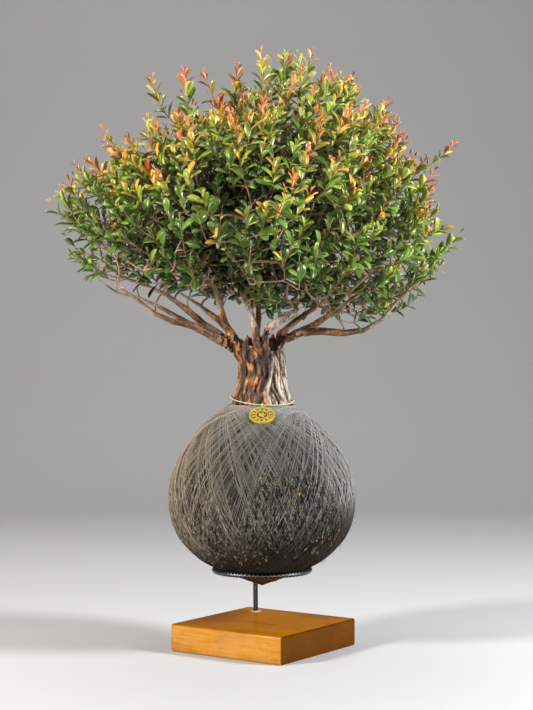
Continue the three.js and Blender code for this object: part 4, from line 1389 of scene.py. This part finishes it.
@dataclass
class Tree:
    """The wood of the trunk, boughs and branchlets, remeshed finely from its solid and given its bark."""

    voxel: float = 1.06
    smoothing: int = 6
    top: Triple = (-2.0, 8.0, 362.0)
    stub: Triple = (24.0, -20.0, 406.0)
    pale_fork: tuple[Triple, ...] = (
        (-84, -50, 504), (-65, -40, 468), (-27, -26, 432), (-17, -20, 420), (-10, -12, 393), (-17, -20, 420),
        (-34, -34, 445), (-36, -42, 464), (-23, -50, 487),
    )

    def build(self) -> None:
        """Makes the wood."""
        mesh = self.fine_copy()
        points = points_of(mesh)
        normals = np.empty(points.size, np.float32)
        mesh.vertex_normals.foreach_get("vector", normals)
        normals = normals.reshape(-1, 3).astype(float)
        height, relief, pale = self.bark(points)
        moved = points + normals * height[:, None]
        moved += self.foot(points) + self.crest(points)
        mesh.vertices.foreach_set("co", (moved * METRE).astype(np.float32).ravel())
        give_value(mesh, "relief", relief)
        give_value(mesh, "pale", pale)
        mesh.update()
        mesh.shade_smooth()
        new_piece(mesh, BarkFinish().material(), ("tree_wood",))

    def foot(self, points: np.ndarray) -> np.ndarray:
        """How the flared foot of the trunk spreads and reaches down into the thread."""
        from_axis = (points - [-2.5, 12.5, 0]) * [1, 1, 0]
        away = np.linalg.norm(from_axis, axis=1, keepdims=True)
        outside = eased(away[:, 0], 25, 31) * (points[:, 2] > 303)
        spread = 3.4 * outside * (1 - eased(points[:, 2], 308, 326))
        down = 5.0 * outside * (1 - eased(points[:, 2], 306.5, 318))
        return from_axis / np.maximum(away, 1) * spread[:, None] - UP * down[:, None]

    def crest(self, points: np.ndarray) -> np.ndarray:
        """How the top of the trunk rises in ridges and sinks in clefts between the boughs."""
        away = np.linalg.norm(points[:, :2] - self.top[:2], axis=1)
        share = eased(points[:, 2], 362, 384) * (1 - eased(points[:, 2], 390, 402))
        share *= 1 - eased(away, 24, 34)
        return UP * (share * 19 * (lumps(points, (8, 8, 90), 31) - 0.62))[:, None]

    def fine_copy(self) -> bpy.types.Mesh:
        """The wood's solid as a fine, even and smooth mesh."""
        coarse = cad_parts["tree_wood"].data.copy()
        shape = bmesh.new()
        shape.from_mesh(coarse)
        bmesh.ops.remove_doubles(shape, verts=shape.verts, dist=0.01 * METRE)
        shape.to_mesh(coarse)
        shape.free()
        copy = bpy.data.objects.new("wood_copy", coarse)
        bpy.context.scene.collection.objects.link(copy)
        remesh = copy.modifiers.new("fine", "REMESH")
        remesh.mode, remesh.voxel_size = "VOXEL", self.voxel * METRE
        smooth = copy.modifiers.new("smooth", "SMOOTH")
        smooth.factor, smooth.iterations = 0.5, self.smoothing
        fine = bpy.data.meshes.new_from_object(copy.evaluated_get(bpy.context.evaluated_depsgraph_get()))
        bpy.data.objects.remove(copy)
        fine.name = "wood"
        return fine

    def bark(self, points: np.ndarray) -> tuple[np.ndarray, np.ndarray, np.ndarray]:
        """The bark's relief and kind.

        Args:
            points: the wood's vertices.

        Returns:
            How far each vertex moves out, how high it lies from 0 to 1, and how much it is deadwood.
        """
        from_top = points - np.array(self.top)
        distance = np.linalg.norm(from_top, axis=1)
        on_trunk = (1 - eased(distance, 40, 74)) * (1 - eased(points[:, 2], 386, 402))
        on_trunk = np.maximum(on_trunk, 1 - eased(points[:, 2], 336, 352))
        # Swaying places make the strings, clefts and plates of the trunk wander as they run up.
        swayed = points + 9 * np.stack([lumps(points, 24, 21), lumps(points, 24, 22), 0 * distance], -1)
        strings = lumps(swayed, (2.2, 2.2, 20), 1)
        wide, near = lumps(swayed, (6.5, 6.5, 44), 2), lumps(swayed, (3.6, 3.6, 30), 3)
        cleft = (1 - np.abs(2 * wide - 1)) ** 9 * eased(lumps(points, 17, 4), 0.15, 0.4)
        cleft = np.maximum(cleft, 0.6 * (1 - np.abs(2 * near - 1)) ** 9)
        plates = eased(lumps(swayed, (4.2, 4.2, 9), 6), 0.46, 0.54)
        pale_trunk = eased(swayed[:, 0] + 7 * lumps(points, (8, 8, 40), 7), 9, 13)
        pale_trunk *= 1 - eased(points[:, 2], 372, 384)
        # The ribs of a limb run outwards from the top of the trunk.
        ribs = lumps(unit(from_top) * 100 + distance[:, None] * 0.05, 3.0, 9)
        knots = lumps(points, 13, 10)
        trunk_height = 2.0 * (strings - 0.5) - 4.6 * cleft + 1.1 * (plates - 0.5) * (1 - pale_trunk)
        limb_height = 1.3 * (ribs - 0.5) + 1.6 * (knots - 0.5)
        slim = eased(distance, 80, 190)
        height = blend(limb_height * (1 - 0.7 * slim), trunk_height, on_trunk)
        # The relief also sets colour: partly painted shade in the clefts and painted highlight on the ridges.
        trunk_relief = 0.6 + (strings - 0.5) - 1.1 * cleft
        trunk_relief += 0.4 * (plates - 0.5) * (1 - 0.7 * pale_trunk)
        limb_relief = 0.56 + 0.8 * (ribs - 0.5) + 0.5 * (knots - 0.5) + 0.12 * slim
        relief = np.clip(blend(limb_relief, trunk_relief, on_trunk), 0, 1)
        # Worn patches, slim branches, the cut stub and the forked bough are pale, and so is one side below.
        worn = eased(lumps(points, 26, 12), 0.58, 0.75) * 0.3 + 0.42 * slim
        stub = 1 - eased(np.linalg.norm(points - self.stub, axis=1), 22, 34)
        fork = smooth_line(np.array(self.pale_fork), 6)
        from_fork = np.min([np.linalg.norm(points - spot, axis=1) for spot in fork], axis=0)
        forked = 1 - eased(from_fork, 7.5, 11)
        height -= 0.6 * slim + 0.9 * forked * (1 - on_trunk)
        pale = blend(np.maximum(worn, np.maximum(0.8 * stub, 0.85 * forked)), pale_trunk, on_trunk)
        return height, relief, pale


@dataclass(frozen=True)
class Shell:
    """One shell of the crown: how its shoots grow and how its leaves look.

    `size` is a share of the crown's size, and `rough` is how far under the shell a tip may be, as a share of
    the shell's. `leaf` and `bright` are the size and brightness of leaves as shares of the outermost shell's;
    the inner shells' lower `bright` is painted shade, and their higher `age` darkens their leaves as older
    leaves and as painted shade.
    """

    shoots: int
    size: float
    rough: float
    length: float
    leaf: float
    age: float
    bright: float


@dataclass
class Crown:
    """The foliage: shoots on the crown's surface and under it, which twigs join to the wood."""

    middle: Triple = (-10.0, 8.0, 520.0)
    depth: float = 0.86
    left: tuple[Pair, ...] = (
        (-90, 88), (-70, 91), (-35, 137), (-21, 208), (-14, 244), (-3, 254), (7, 256), (16, 236), (27, 217),
        (32, 220), (44, 188), (51, 190), (65, 184), (78, 205), (90, 214),
    )
    right: tuple[Pair, ...] = (
        (-90, 88), (-79, 90), (-53, 111), (-47, 162), (-39, 197), (-25, 218), (-14, 235), (-1, 250), (6, 232),
        (15, 240), (27, 216), (38, 222), (53, 217), (67, 218), (76, 228), (90, 214),
    )
    under: tuple[Pair, ...] = (
        (-262, 540), (-250, 505), (-235, 472), (-203, 452), (-100, 446), (-42, 434), (57, 404), (106, 400),
        (144, 398), (168, 408), (200, 424), (218, 440), (240, 475), (255, 520),
    )
    # The inner shells' lower bright is painted shade inside the crown.
    shells: tuple[Shell, ...] = (
        Shell(shoots=640, size=0.99, rough=0.1, length=66.0, leaf=1.0, age=0.0, bright=1.0),
        Shell(shoots=400, size=0.76, rough=0.16, length=58.0, leaf=0.86, age=0.32, bright=0.55),
        Shell(shoots=380, size=0.5, rough=0.25, length=44.0, leaf=0.8, age=0.5, bright=0.2),
    )
    sprigs: tuple[Triple, ...] = (
        (-137, -34, 702), (-98, -24, 712), (235, -26, 625), (-262, -20, 552), (243, -10, 516),
        (-196, -40, 640), (-252, 12, 574), (-4, -14, 738), (29, 22, 742), (59, -20, 738), (82, 6, 722),
        (109, -30, 706), (154, -12, 680), (-32, 18, 724), (-75, -6, 714), (-234, 4, 600), (214, 22, 596),
        (-10, 206, 560), (24, -205, 548), (88, 190, 600),
    )
    sprig_length: float = 78.0
    young_sprays: range = range(18, 26)
    steps: int = 8
    pairs: int = 7
    spacing: float = 9.2
    sizes: tuple[tuple[float, ...], ...] = ((0, 1, 2, 3.5), (9.5, 15.5, 20.5, 22.5))
    widths: tuple[tuple[float, ...], ...] = ((0, 2), (0.32, 0.43))
    fold: float = 0.34
    fork: Triple = (-2.0, 8.0, 372.0)
    wood_cost: float = 25.0
    run_cost: float = 0.35
    droop_cost: float = 0.7
    twig: float = 0.8
    seed: int = 5

    def half_width(self, elevation: np.ndarray, azimuth: np.ndarray) -> np.ndarray:
        """How far the crown's surface is from its middle in a direction given in radians."""
        ways = [np.interp(np.degrees(elevation), *np.array(side).T) for side in (self.left, self.right)]
        return blend(*ways, (1 + np.cos(azimuth)) / 2)

    def layer(self, shell: Shell, draw: np.random.Generator) -> tuple[np.ndarray, np.ndarray]:
        """Places of tips on a shell of the crown.

        Args:
            shell: the shell. It keeps only some of its shoots, fewer where the crown is small or low.
            draw: where random numbers come from.

        Returns:
            The places, and the direction that is outwards at each.
        """
        count = shell.shoots
        elevation, azimuth = even_angles(count)
        elevation = np.clip(elevation + draw.normal(0, 0.035, count), -1.5, 1.5)
        azimuth = azimuth + draw.normal(0, 0.035, count) / np.maximum(np.cos(elevation), 0.2)
        reach = self.half_width(elevation, azimuth)
        keep = draw.random(count) < np.clip((reach / 200) ** 2, 0.25, 1)
        keep &= draw.random(count) < blend(0.3, 1.0, eased(elevation, -0.85, -0.1))
        way = directions(elevation, azimuth)
        valley = eased(lumps(way * 230, 62, 3), 0.55, 0.2)
        keep &= draw.random(count) > 0.4 * valley
        bulge = 1.01 - 0.12 * valley
        away = reach * shell.size * bulge * (1 - shell.rough * draw.random(count) ** 2)
        tips = np.array(self.middle) + way * [1, self.depth, 1] * away[:, None]
        return tips[keep], unit(way * [1, 1 / self.depth, 1])[keep]

    def floor(self, places: np.ndarray) -> np.ndarray:
        """The height of the crown's underside over or under the places given."""
        across = places[:, 0] - self.middle[0]
        away = np.hypot(across, (places[:, 1] - self.middle[1]) / self.depth)
        sides = [np.interp(self.middle[0] + hand * away, *np.array(self.under).T) for hand in (-1, 1)]
        return blend(*sides, (1 + across / np.maximum(away, 1)) / 2)

    def shoots(self) -> dict[str, np.ndarray]:
        """Every shoot's line, how young its tip is and which shell it belongs to."""
        draw = np.random.default_rng(self.seed)
        layers = [self.layer(shell, draw) for shell in self.shells]
        sprigs = np.array(self.sprigs, float)
        layers.append((sprigs, unit(sprigs - self.middle)))
        tips = np.vstack([tip for tip, _ in layers])
        out = np.vstack([way for _, way in layers])
        shell = np.concatenate([np.full(len(tip), number) for number, (tip, _) in enumerate(layers)])
        shell %= len(self.shells)
        count = len(tips)
        sideways = out * [1, 1, 0] + UP * np.clip(out[:, 2:], -0.12, 1)
        growth = unit(sideways * 0.6 + UP * 0.66 + draw.normal(0, 0.15, (count, 3)))
        start = unit(out * [1, 1, 0.6] + UP * 0.15 + draw.normal(0, 0.16, (count, 3)))
        length = self.of_shells("length")[shell] * draw.uniform(0.8, 1.2, count)
        length[-len(sprigs) :] = self.sprig_length
        bend = tips - growth * length[:, None] * 0.55
        base = bend - start * length[:, None] * 0.45
        share = np.linspace(0, 1, self.steps)[None, :, None]
        lines = (1 - share) ** 2 * base[:, None] + 2 * share * (1 - share) * bend[:, None]
        lines += share**2 * tips[:, None]
        short = self.floor(base) + 4 + 50 * draw.random(count) ** 1.6 - base[:, 2]
        lines[..., 2] += np.clip(short, 0, None)[:, None]
        tips = lines[:, -1]
        high = eased(tips[:, 2], 450, 690)
        patches = lumps(tips, 46, 6) * 0.6 + lumps(tips, 18, 7) * 0.4
        youth = eased(patches + 0.16 * high + draw.normal(0, 0.11, count), 0.38, 0.84)
        youth[-len(sprigs) :] = np.maximum(youth[-len(sprigs) :], 0.75)
        youth = np.where(shell == 0, youth, 0.15 * youth)
        bare = np.clip(short, 0, 40) / 40
        return {"lines": lines, "youth": youth, "shell": shell, "length": length, "bare": bare}

    def of_shells(self, name: str) -> np.ndarray:
        """One value of every shell."""
        return np.array([getattr(shell, name) for shell in self.shells])

    def build(self) -> None:
        """Makes one leafy spray for each spray of the frame."""
        finishes = {
            "foliage": LeafFinish("leaves", 0.0).material(),
            "young_foliage": LeafFinish("young leaves", 0.03).material(),
        }
        nodes = sorted(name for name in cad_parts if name.startswith("spray_"))
        solids = [points_of(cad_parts[name].data) for name in nodes]
        wood = points_of(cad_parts["tree_wood"].data)
        sites = np.array([solid.mean(axis=0) for solid in solids])
        shoots = self.shoots()
        middle = shoots["lines"][:, self.steps // 2]
        owner = np.argmin(np.linalg.norm(middle[:, None] - sites[None], axis=-1), axis=1)
        inside = tuple(np.array(corner) / METRE for corner in cad_box)
        for number, name in enumerate(nodes):
            mine = {key: value[owner == number] for key, value in shoots.items()}
            slot = "young_foliage" if number in self.young_sprays else "foliage"
            inlets = self.inlets(solids[number], wood, mine["lines"][:, 0])
            heap = Heap()
            self.add_twigs(heap, mine["lines"], inlets)
            self.add_stems(heap, mine)
            self.add_leaves(heap, mine, np.random.default_rng(self.seed + 10 + number))
            new_piece(heap.mesh("leafy_" + name, inside), finishes[slot], (name,))

    def inlets(self, solid: np.ndarray, wood: np.ndarray, bases: np.ndarray) -> np.ndarray:
        """Where a spray's twigs may leave the wood: where its solid meets it, and near its shoots."""
        apart = np.linalg.norm(solid[:, None] - wood[None], axis=-1)
        meeting = wood[np.unravel_index(np.argmin(apart), apart.shape)[1]]
        if not len(bases):
            return meeting[None]
        near = np.linalg.norm(wood[:, None] - bases[None], axis=-1).min(axis=1) < 75
        return np.vstack([meeting[None], wood[near][::2]])

    def add_twigs(self, heap: Heap, lines: np.ndarray, inlets: np.ndarray) -> None:
        """Joins every shoot's base to one of the inlets by a net of twigs that thicken towards it."""
        knots, ways = list(inlets), list(unit(inlets - self.fork))
        runs, parents, load = [self.wood_cost] * len(knots), [-1] * len(knots), [0] * len(knots)
        runs[0] = 0.0
        twigs = []
        rings = 6
        share = np.linspace(0, 1, rings)[:, None]
        bases, starts = lines[:, 0], unit(lines[:, 1] - lines[:, 0])
        # The nearest shoot comes first. A later one may branch off any twig, where that costs it least.
        for number in np.argsort(np.linalg.norm(bases[:, None] - inlets[None], axis=-1).min(axis=1)):
            base, start = bases[number], starts[number]
            apart = np.linalg.norm(np.array(knots) - base, axis=1)
            above = np.clip(np.array(knots)[:, 2] - base[2], 0, None)
            cost = apart + self.run_cost * np.array(runs) + self.droop_cost * above
            root = int(np.argmin(cost))
            reach = apart[root]
            leave = knots[root] + (unit(ways[root] + 0.6 * unit(base - knots[root])) * reach * 0.35)
            arrive = base - start * reach * 0.35
            path = (
                (1 - share) ** 3 * knots[root] + 3 * share * (1 - share) ** 2 * leave
                + 3 * share**2 * (1 - share) * arrive + share**3 * base
            )
            parent = root
            members = [root]
            for ring in range(1, rings):
                knots.append(path[ring])
                ways.append(unit(path[ring] - path[ring - 1]))
                runs.append(runs[parent] + reach / (rings - 1))
                parents.append(parent)
                load.append(0)
                parent = len(knots) - 1
                members.append(parent)
            twigs.append((path, members))
            while parent >= 0:
                load[parent] += 1
                parent = parents[parent]
        if not twigs:
            return
        # A twig is as thick as the number of shoots that it carries asks for.
        thickness = self.twig * np.array(load, float) ** 0.42
        paths = np.array([path for path, _ in twigs])
        radii = np.array([[thickness[member] for member in members] for _, members in twigs])
        radii[:, 0] = np.minimum(radii[:, 0], radii[:, 1] * 1.15)
        points = tube_points(paths, radii, 5)
        heap.add(points, tube_pattern(rings, 5), age=0.95, across=0.5, under=0.0, shade=0.5, stem=1.0)

    def add_stems(self, heap: Heap, shoots: dict[str, np.ndarray]) -> None:
        """The shoots' own stems."""
        lines, youth = shoots["lines"], shoots["youth"]
        share = np.linspace(0, 1, self.steps)[None]
        radii = np.repeat(0.62 - 0.3 * share, len(lines), axis=0)
        age = np.clip(0.95 - share * (0.5 + 0.5 * youth[:, None]), 0, 1)
        sides = 4
        ring_age = np.repeat(age, sides, axis=1)
        ring_age = np.concatenate([ring_age, age[:, :1], age[:, -1:]], axis=1)
        points = tube_points(lines, radii, sides)
        pattern = tube_pattern(self.steps, sides)
        heap.add(points, pattern, age=ring_age, across=0.5, under=0.0, shade=0.6, stem=1.0)

    def add_leaves(self, heap: Heap, shoots: dict[str, np.ndarray], draw: np.random.Generator) -> None:
        """Pairs of leaves along every shoot, each pair crosswise to the one before."""
        lines, youth, shell, length, bare = shoots.values()
        count = len(lines)
        order = np.arange(self.pairs)[None]
        from_tip = 1.5 + self.spacing * order + draw.uniform(-1, 1, (count, self.pairs))
        from_tip *= np.where(shell[:, None] == 2, 0.9, 1.0)
        share = 1 - from_tip / length[:, None]
        spot = np.clip(share, 0, 1) * (self.steps - 1)
        low = np.minimum(spot.astype(int), self.steps - 2)
        rows = np.arange(count)[:, None]
        start, end = lines[rows, low], lines[rows, low + 1]
        root = blend(start, end, (spot - low)[..., None])
        above = root[..., 2] - self.floor(root.reshape(-1, 3)).reshape(root.shape[:2])
        low_down = 1 - eased(above, 8, 95)
        along = unit(end - start)
        side = unit(np.cross(along, np.array([0.3, 0.2, 1.0])))
        other = np.cross(along, side)
        turn = draw.uniform(0, math.pi, (count, 1)) + order * math.pi / 2
        turn = turn + draw.normal(0, 0.22, (count, self.pairs))
        leaf, ripe, bright = (self.of_shells(name)[shell][:, None] for name in ("leaf", "age", "bright"))
        large = draw.uniform(0.72, 1.1, (count, 1)) * leaf
        for hand in (0.0, math.pi):
            angle = (turn + hand + draw.normal(0, 0.12, turn.shape))[..., None]
            outwards = side * np.cos(angle) + other * np.sin(angle)
            opening = np.radians(np.minimum(17 + 6.5 * order, 48)) + draw.normal(0, 0.13, turn.shape)
            opening = opening[..., None]
            way = along * np.cos(opening) + outwards * np.sin(opening)
            face = along * np.sin(opening) - outwards * np.cos(opening)
            way = unit(way + draw.normal(0, 0.07, way.shape))
            face = unit(face + UP * 0.35 + draw.normal(0, 0.2, face.shape))
            size = np.interp(order, *self.sizes) * draw.uniform(0.84, 1.14, turn.shape) * large
            wide = size * (np.interp(order, *self.widths) + draw.uniform(-0.05, 0.05, turn.shape))
            young = youth[:, None] * np.exp(-order / (1.4 + 2.8 * youth[:, None]))
            age = 0.35 + 0.065 * order - 0.5 * young
            # Painted shade: leaves low in the crown are aged darker, as older leaves and as leaves in shade.
            age = age + ripe + 0.26 * low_down + draw.normal(0, 0.06, turn.shape)
            # A leaf's random tone, scaled by its shell's bright as painted shade.
            shade = draw.uniform(0, 1, turn.shape) * bright
            arch = draw.uniform(0.15, 0.75, turn.shape)
            fallen = 0.06 + 0.44 * low_down * (shell[:, None] == 0)
            kept = (share > 0.1 + 0.34 * bare[:, None]) & (draw.random(turn.shape) > fallen)
            values = (root, way, face, size, wide, arch, age, shade)
            self.put_leaves(heap, *(value[kept] for value in values))

    def put_leaves(
        self, heap: Heap, root: np.ndarray, way: np.ndarray, face: np.ndarray, size: np.ndarray,
        wide: np.ndarray, arch: np.ndarray, age: np.ndarray, shade: np.ndarray,
    ) -> None:
        """Adds leaves from the values that each of them has."""
        if not len(root):
            return
        along, across, level = LEAF.template()
        points = LEAF.placed(root, way, face, size, wide, arch, self.fold)
        shape = (len(points), len(along))
        heap.add(
            points, LEAF.pattern(),
            age=np.clip(age, 0, 1), across=np.broadcast_to(across, shape),
            under=np.broadcast_to(np.clip(-level, 0, 1), shape), shade=shade, stem=0.0,
        )


@dataclass
class NeckCord:
    """The twine round the trunk's foot: two plies twisted together."""

    centre: Pair = (-2.5, 12.5)
    side: float = 39.2
    front: float = 45.0
    back: float = 36.0
    height: float = 309.6
    droop: float = 6.75
    lean: float = 2.5
    ply: float = 0.46
    apart: float = 0.36
    twist: float = 3.2
    segments: int = 720

    def build(self) -> None:
        """Makes the two plies as one piece."""
        angle = circle(self.segments)
        sag = self.droop * np.maximum(-np.sin(angle), 0) + self.lean * np.cos(angle)
        away = np.sin(angle) * (self.front + self.back) / 2 + (self.back - self.front) / 2
        x, y = self.centre
        line = np.stack([x + self.side * np.cos(angle), y + away, self.height - sag], -1)
        twists = round(2 * math.pi * self.side / self.twist)
        out = unit(line - [*self.centre, self.height])
        heap = Heap()
        for ply in (0, math.pi):
            turn = (angle * twists + ply)[:, None]
            path = line + self.apart * (out * np.cos(turn) + UP * np.sin(turn))
            radii = np.full((1, self.segments), self.ply)
            heap.add(tube_points(path[None], radii, 6, True), tube_pattern(self.segments, 6, True))
        new_piece(heap.mesh("twine"), PaleCord().material(), ("neck_cord",))


@dataclass
class Tag:
    """The round brass tag: a raised rim, a band with dots sunk in it, a ring and a plain flower."""

    radius: float = 15.7
    thickness: float = 1.5
    out: float = 56.8
    sunk: float = 0.15
    marks: int = 12
    mark_ring: float = 10.5
    petals: int = 5
    deep: float = 0.5
    sharp: float = math.radians(50)
    eye_radius: float = 1.9
    eye_wire: float = 0.6
    eye_steps: int = 40

    def build(self, ball: Ball) -> None:
        """Makes the tag on the ball's shoulder.

        Args:
            ball: the ball that it lies on.
        """
        rings, around = 64, 168
        reach = np.linspace(0, 1, rings)[1:] ** 0.9 * self.radius
        turn = circle(around)
        distance, angle = np.meshgrid(reach, turn, indexing="ij")
        relief = self.relief(distance, angle)
        top = np.stack([distance * np.cos(angle), distance * np.sin(angle), self.thickness + relief], -1)
        bottom_ring = np.stack([self.radius * np.cos(turn), self.radius * np.sin(turn), np.zeros(around)], -1)
        middle = self.relief(np.zeros(1), np.zeros(1))[0]
        ends = [[0, 0, self.thickness + middle], [0, 0, 0]]
        points = np.vstack([top.reshape(-1, 3), bottom_ring, ends])
        centre, under, last = len(points) - 2, len(points) - 1, (rings - 1) * around
        quads = grid_quads(rings, around, turned=True)
        caps = np.vstack([fan(centre, 0, around), fan(under, last, around, turned=True)])
        values = [relief.ravel() / self.deep, np.full(around, 1), [middle / self.deep, 1]]
        place, turned = self.shoulder(ball)
        mesh = mesh_of("brass_tag", points @ turned.T + place, [quads, caps])
        give_value(mesh, "relief", np.clip(np.concatenate(values), 0, 1))
        mesh.set_sharp_from_angle(angle=self.sharp)
        brass = BrassFinish().material()
        new_piece(mesh, brass, ("medallion",))
        self.eye(brass)

    def relief(self, distance: np.ndarray, angle: np.ndarray) -> np.ndarray:
        """How high the tag's face stands at a distance from its middle and an angle."""
        rim = 0.75 * eased(distance, 13.1, 13.5) * (1 - 0.45 * eased(distance, 15.1, 15.7))
        pitch = 2 * math.pi / self.marks
        mark_angle = (angle + pitch / 2) % pitch - pitch / 2
        mark = np.hypot(distance - self.mark_ring, mark_angle * self.mark_ring)
        band = 0.32 * eased(distance, 8.3, 8.8) * (1 - eased(distance, 12.2, 12.7)) * eased(mark, 1.2, 1.7)
        ring = 0.5 * eased(distance, 6.7, 7.0) * (1 - eased(distance, 7.6, 7.9))
        petal = np.abs(np.cos(self.petals * angle / 2)) ** 0.8 * 4.6 + 0.6
        flower = 0.55 * eased(1 - distance / petal, 0.0, 0.25) * eased(distance, 0.9, 1.3)
        boss = 0.5 * eased(1 - distance / 0.8, 0, 0.4)
        return rim + band + ring + flower + boss

    def shoulder(self, ball: Ball) -> tuple[np.ndarray, np.ndarray]:
        """Where the tag lies on the front of the ball, and the matrix that tilts it to the slope there."""
        line = smooth_line(np.array(ball.outline), 200)
        line = line[len(line) * 6 // 10 :]
        spot = int(np.argmin(np.abs(line[:, 0] - self.out)))
        away, height = line[spot]
        slope = unit(line[spot + 1] - line[spot])
        outwards = np.array([0, -slope[1], -slope[0]])
        x, y, _ = ball.centre
        tilt = math.atan2(slope[1], -slope[0])
        cosine, sine = math.cos(tilt), math.sin(tilt)
        matrix = np.array([[1, 0, 0], [0, cosine, -sine], [0, sine, cosine]])
        return np.array([x, y - away, height]) - outwards * self.sunk, matrix

    def eye(self, material: bpy.types.Material) -> None:
        """The little ring that the twine goes through."""
        cord = NeckCord()
        x, y = cord.centre
        middle = np.array([x, y - cord.front, cord.height - cord.droop])
        angle = circle(self.eye_steps)
        path = middle + self.eye_radius * np.stack([0 * angle, np.cos(angle), np.sin(angle)], -1)
        points = tube_points(path[None], np.full((1, self.eye_steps), self.eye_wire), 10, closed=True)
        heap = Heap()
        heap.add(points, tube_pattern(self.eye_steps, 10, closed=True), relief=0.9)
        new_piece(heap.mesh("tag_eye"), material, ("medallion",))


# ---------------------------------------------------------------- studio


@dataclass(frozen=True)
class Lamp:
    """A soft square lamp, with its place and width in metres and its power in watts."""

    name: str
    place: Triple
    size: float
    power: float
    colour: Colour


@dataclass
class Studio:
    """The camera at the photograph's angle, a plain pale floor and soft light from the upper left."""

    eye: Triple = (3.05, -1981.3, 363.9)
    lens: float = 80.93
    sensor: float = 36.0
    floor_tone: float = 0.5
    wall: float = 3200.0
    sweep: float = 1500.0
    wide: float = 6000.0
    near: float = 4000.0
    tall: float = 5000.0
    sky: float = 0.1
    sky_colour: Colour = (0.95, 0.97, 1.0)
    aim: Triple = (0.0, 0.0, 0.38)
    lamps: tuple[Lamp, ...] = (
        Lamp("key", (-1.95, -1.15, 1.22), 0.42, 92.0, (1.0, 0.965, 0.91)),
        Lamp("fill", (1.3, -2.2, 0.8), 1.1, 3.0, (0.93, 0.96, 1.0)),
        Lamp("rim", (1.55, -0.5, 1.05), 0.45, 60.0, (0.96, 0.98, 1.0)),
        Lamp("top", (-0.2, 0.6, 2.2), 0.9, 14.0, (1.0, 0.98, 0.95)),
    )

    def build(self) -> None:
        """Makes the camera, the floor and the lights."""
        scene = bpy.context.scene
        data = bpy.data.cameras.new("camera")
        data.lens, data.sensor_width = self.lens, self.sensor
        camera = bpy.data.objects.new("camera", data)
        camera.location = Vector(self.eye) * METRE
        camera.rotation_euler = (math.pi / 2, 0, 0)
        scene.collection.objects.link(camera)
        scene.camera = camera
        scene.view_settings.view_transform = "Standard"
        self.floor()
        for lamp in self.lamps:
            self.light(lamp)
        world = bpy.data.worlds.new("studio")
        world.use_nodes = True
        background = world.node_tree.nodes["Background"]
        background.inputs["Color"].default_value = (*self.sky_colour, 1)
        background.inputs["Strength"].default_value = self.sky
        scene.world = world

    def floor(self) -> None:
        """The plain floor that the block stands on, which sweeps up behind."""
        bend = np.linspace(0, math.pi / 2, 24)
        away = self.wall - self.sweep + self.sweep * np.sin(bend)
        line = np.stack([away, self.sweep * (1 - np.cos(bend))], -1)
        line = np.vstack([[-self.near, 0], line, [self.wall, self.tall]])
        points = np.array([[side * self.wide, *step] for step in line for side in (-1, 1)])
        row = 2 * np.arange(len(line) - 1)
        faces = np.stack([row, row + 1, row + 3, row + 2], -1)
        mesh = mesh_of("floor", points, [faces])
        material, graph = blank_material("pale floor")
        tone = graph.span(graph.noise(graph.place(), 3.0, 2), 0, 1, self.floor_tone * 0.97, self.floor_tone)
        graph.surface(Base_Color=graph.grey(tone), Roughness=0.7)
        mesh.materials.append(material)
        floor = bpy.data.objects.new("floor", mesh)
        bpy.context.scene.collection.objects.link(floor)

    def light(self, lamp: Lamp) -> None:
        """Adds one lamp, which faces the middle of the plant."""
        data = bpy.data.lights.new(lamp.name, "AREA")
        data.size, data.energy, data.color = lamp.size, lamp.power, lamp.colour
        light = bpy.data.objects.new(lamp.name, data)
        light.location = lamp.place
        facing = Vector(self.aim) - Vector(lamp.place)
        light.rotation_euler = facing.to_track_quat("-Z", "Y").to_euler()
        bpy.context.scene.collection.objects.link(light)


def main() -> None:
    """Builds the studio and then the part from the block up."""
    logging.basicConfig(level=logging.INFO, format="%(name)s: %(message)s")
    Studio().build()
    Block().build()
    Stand().build()
    ball = Ball()
    ball.build()
    Tree().build()
    Crown().build()
    NeckCord().build()
    Tag().build(ball)


if __name__ == "__main__":
    main()
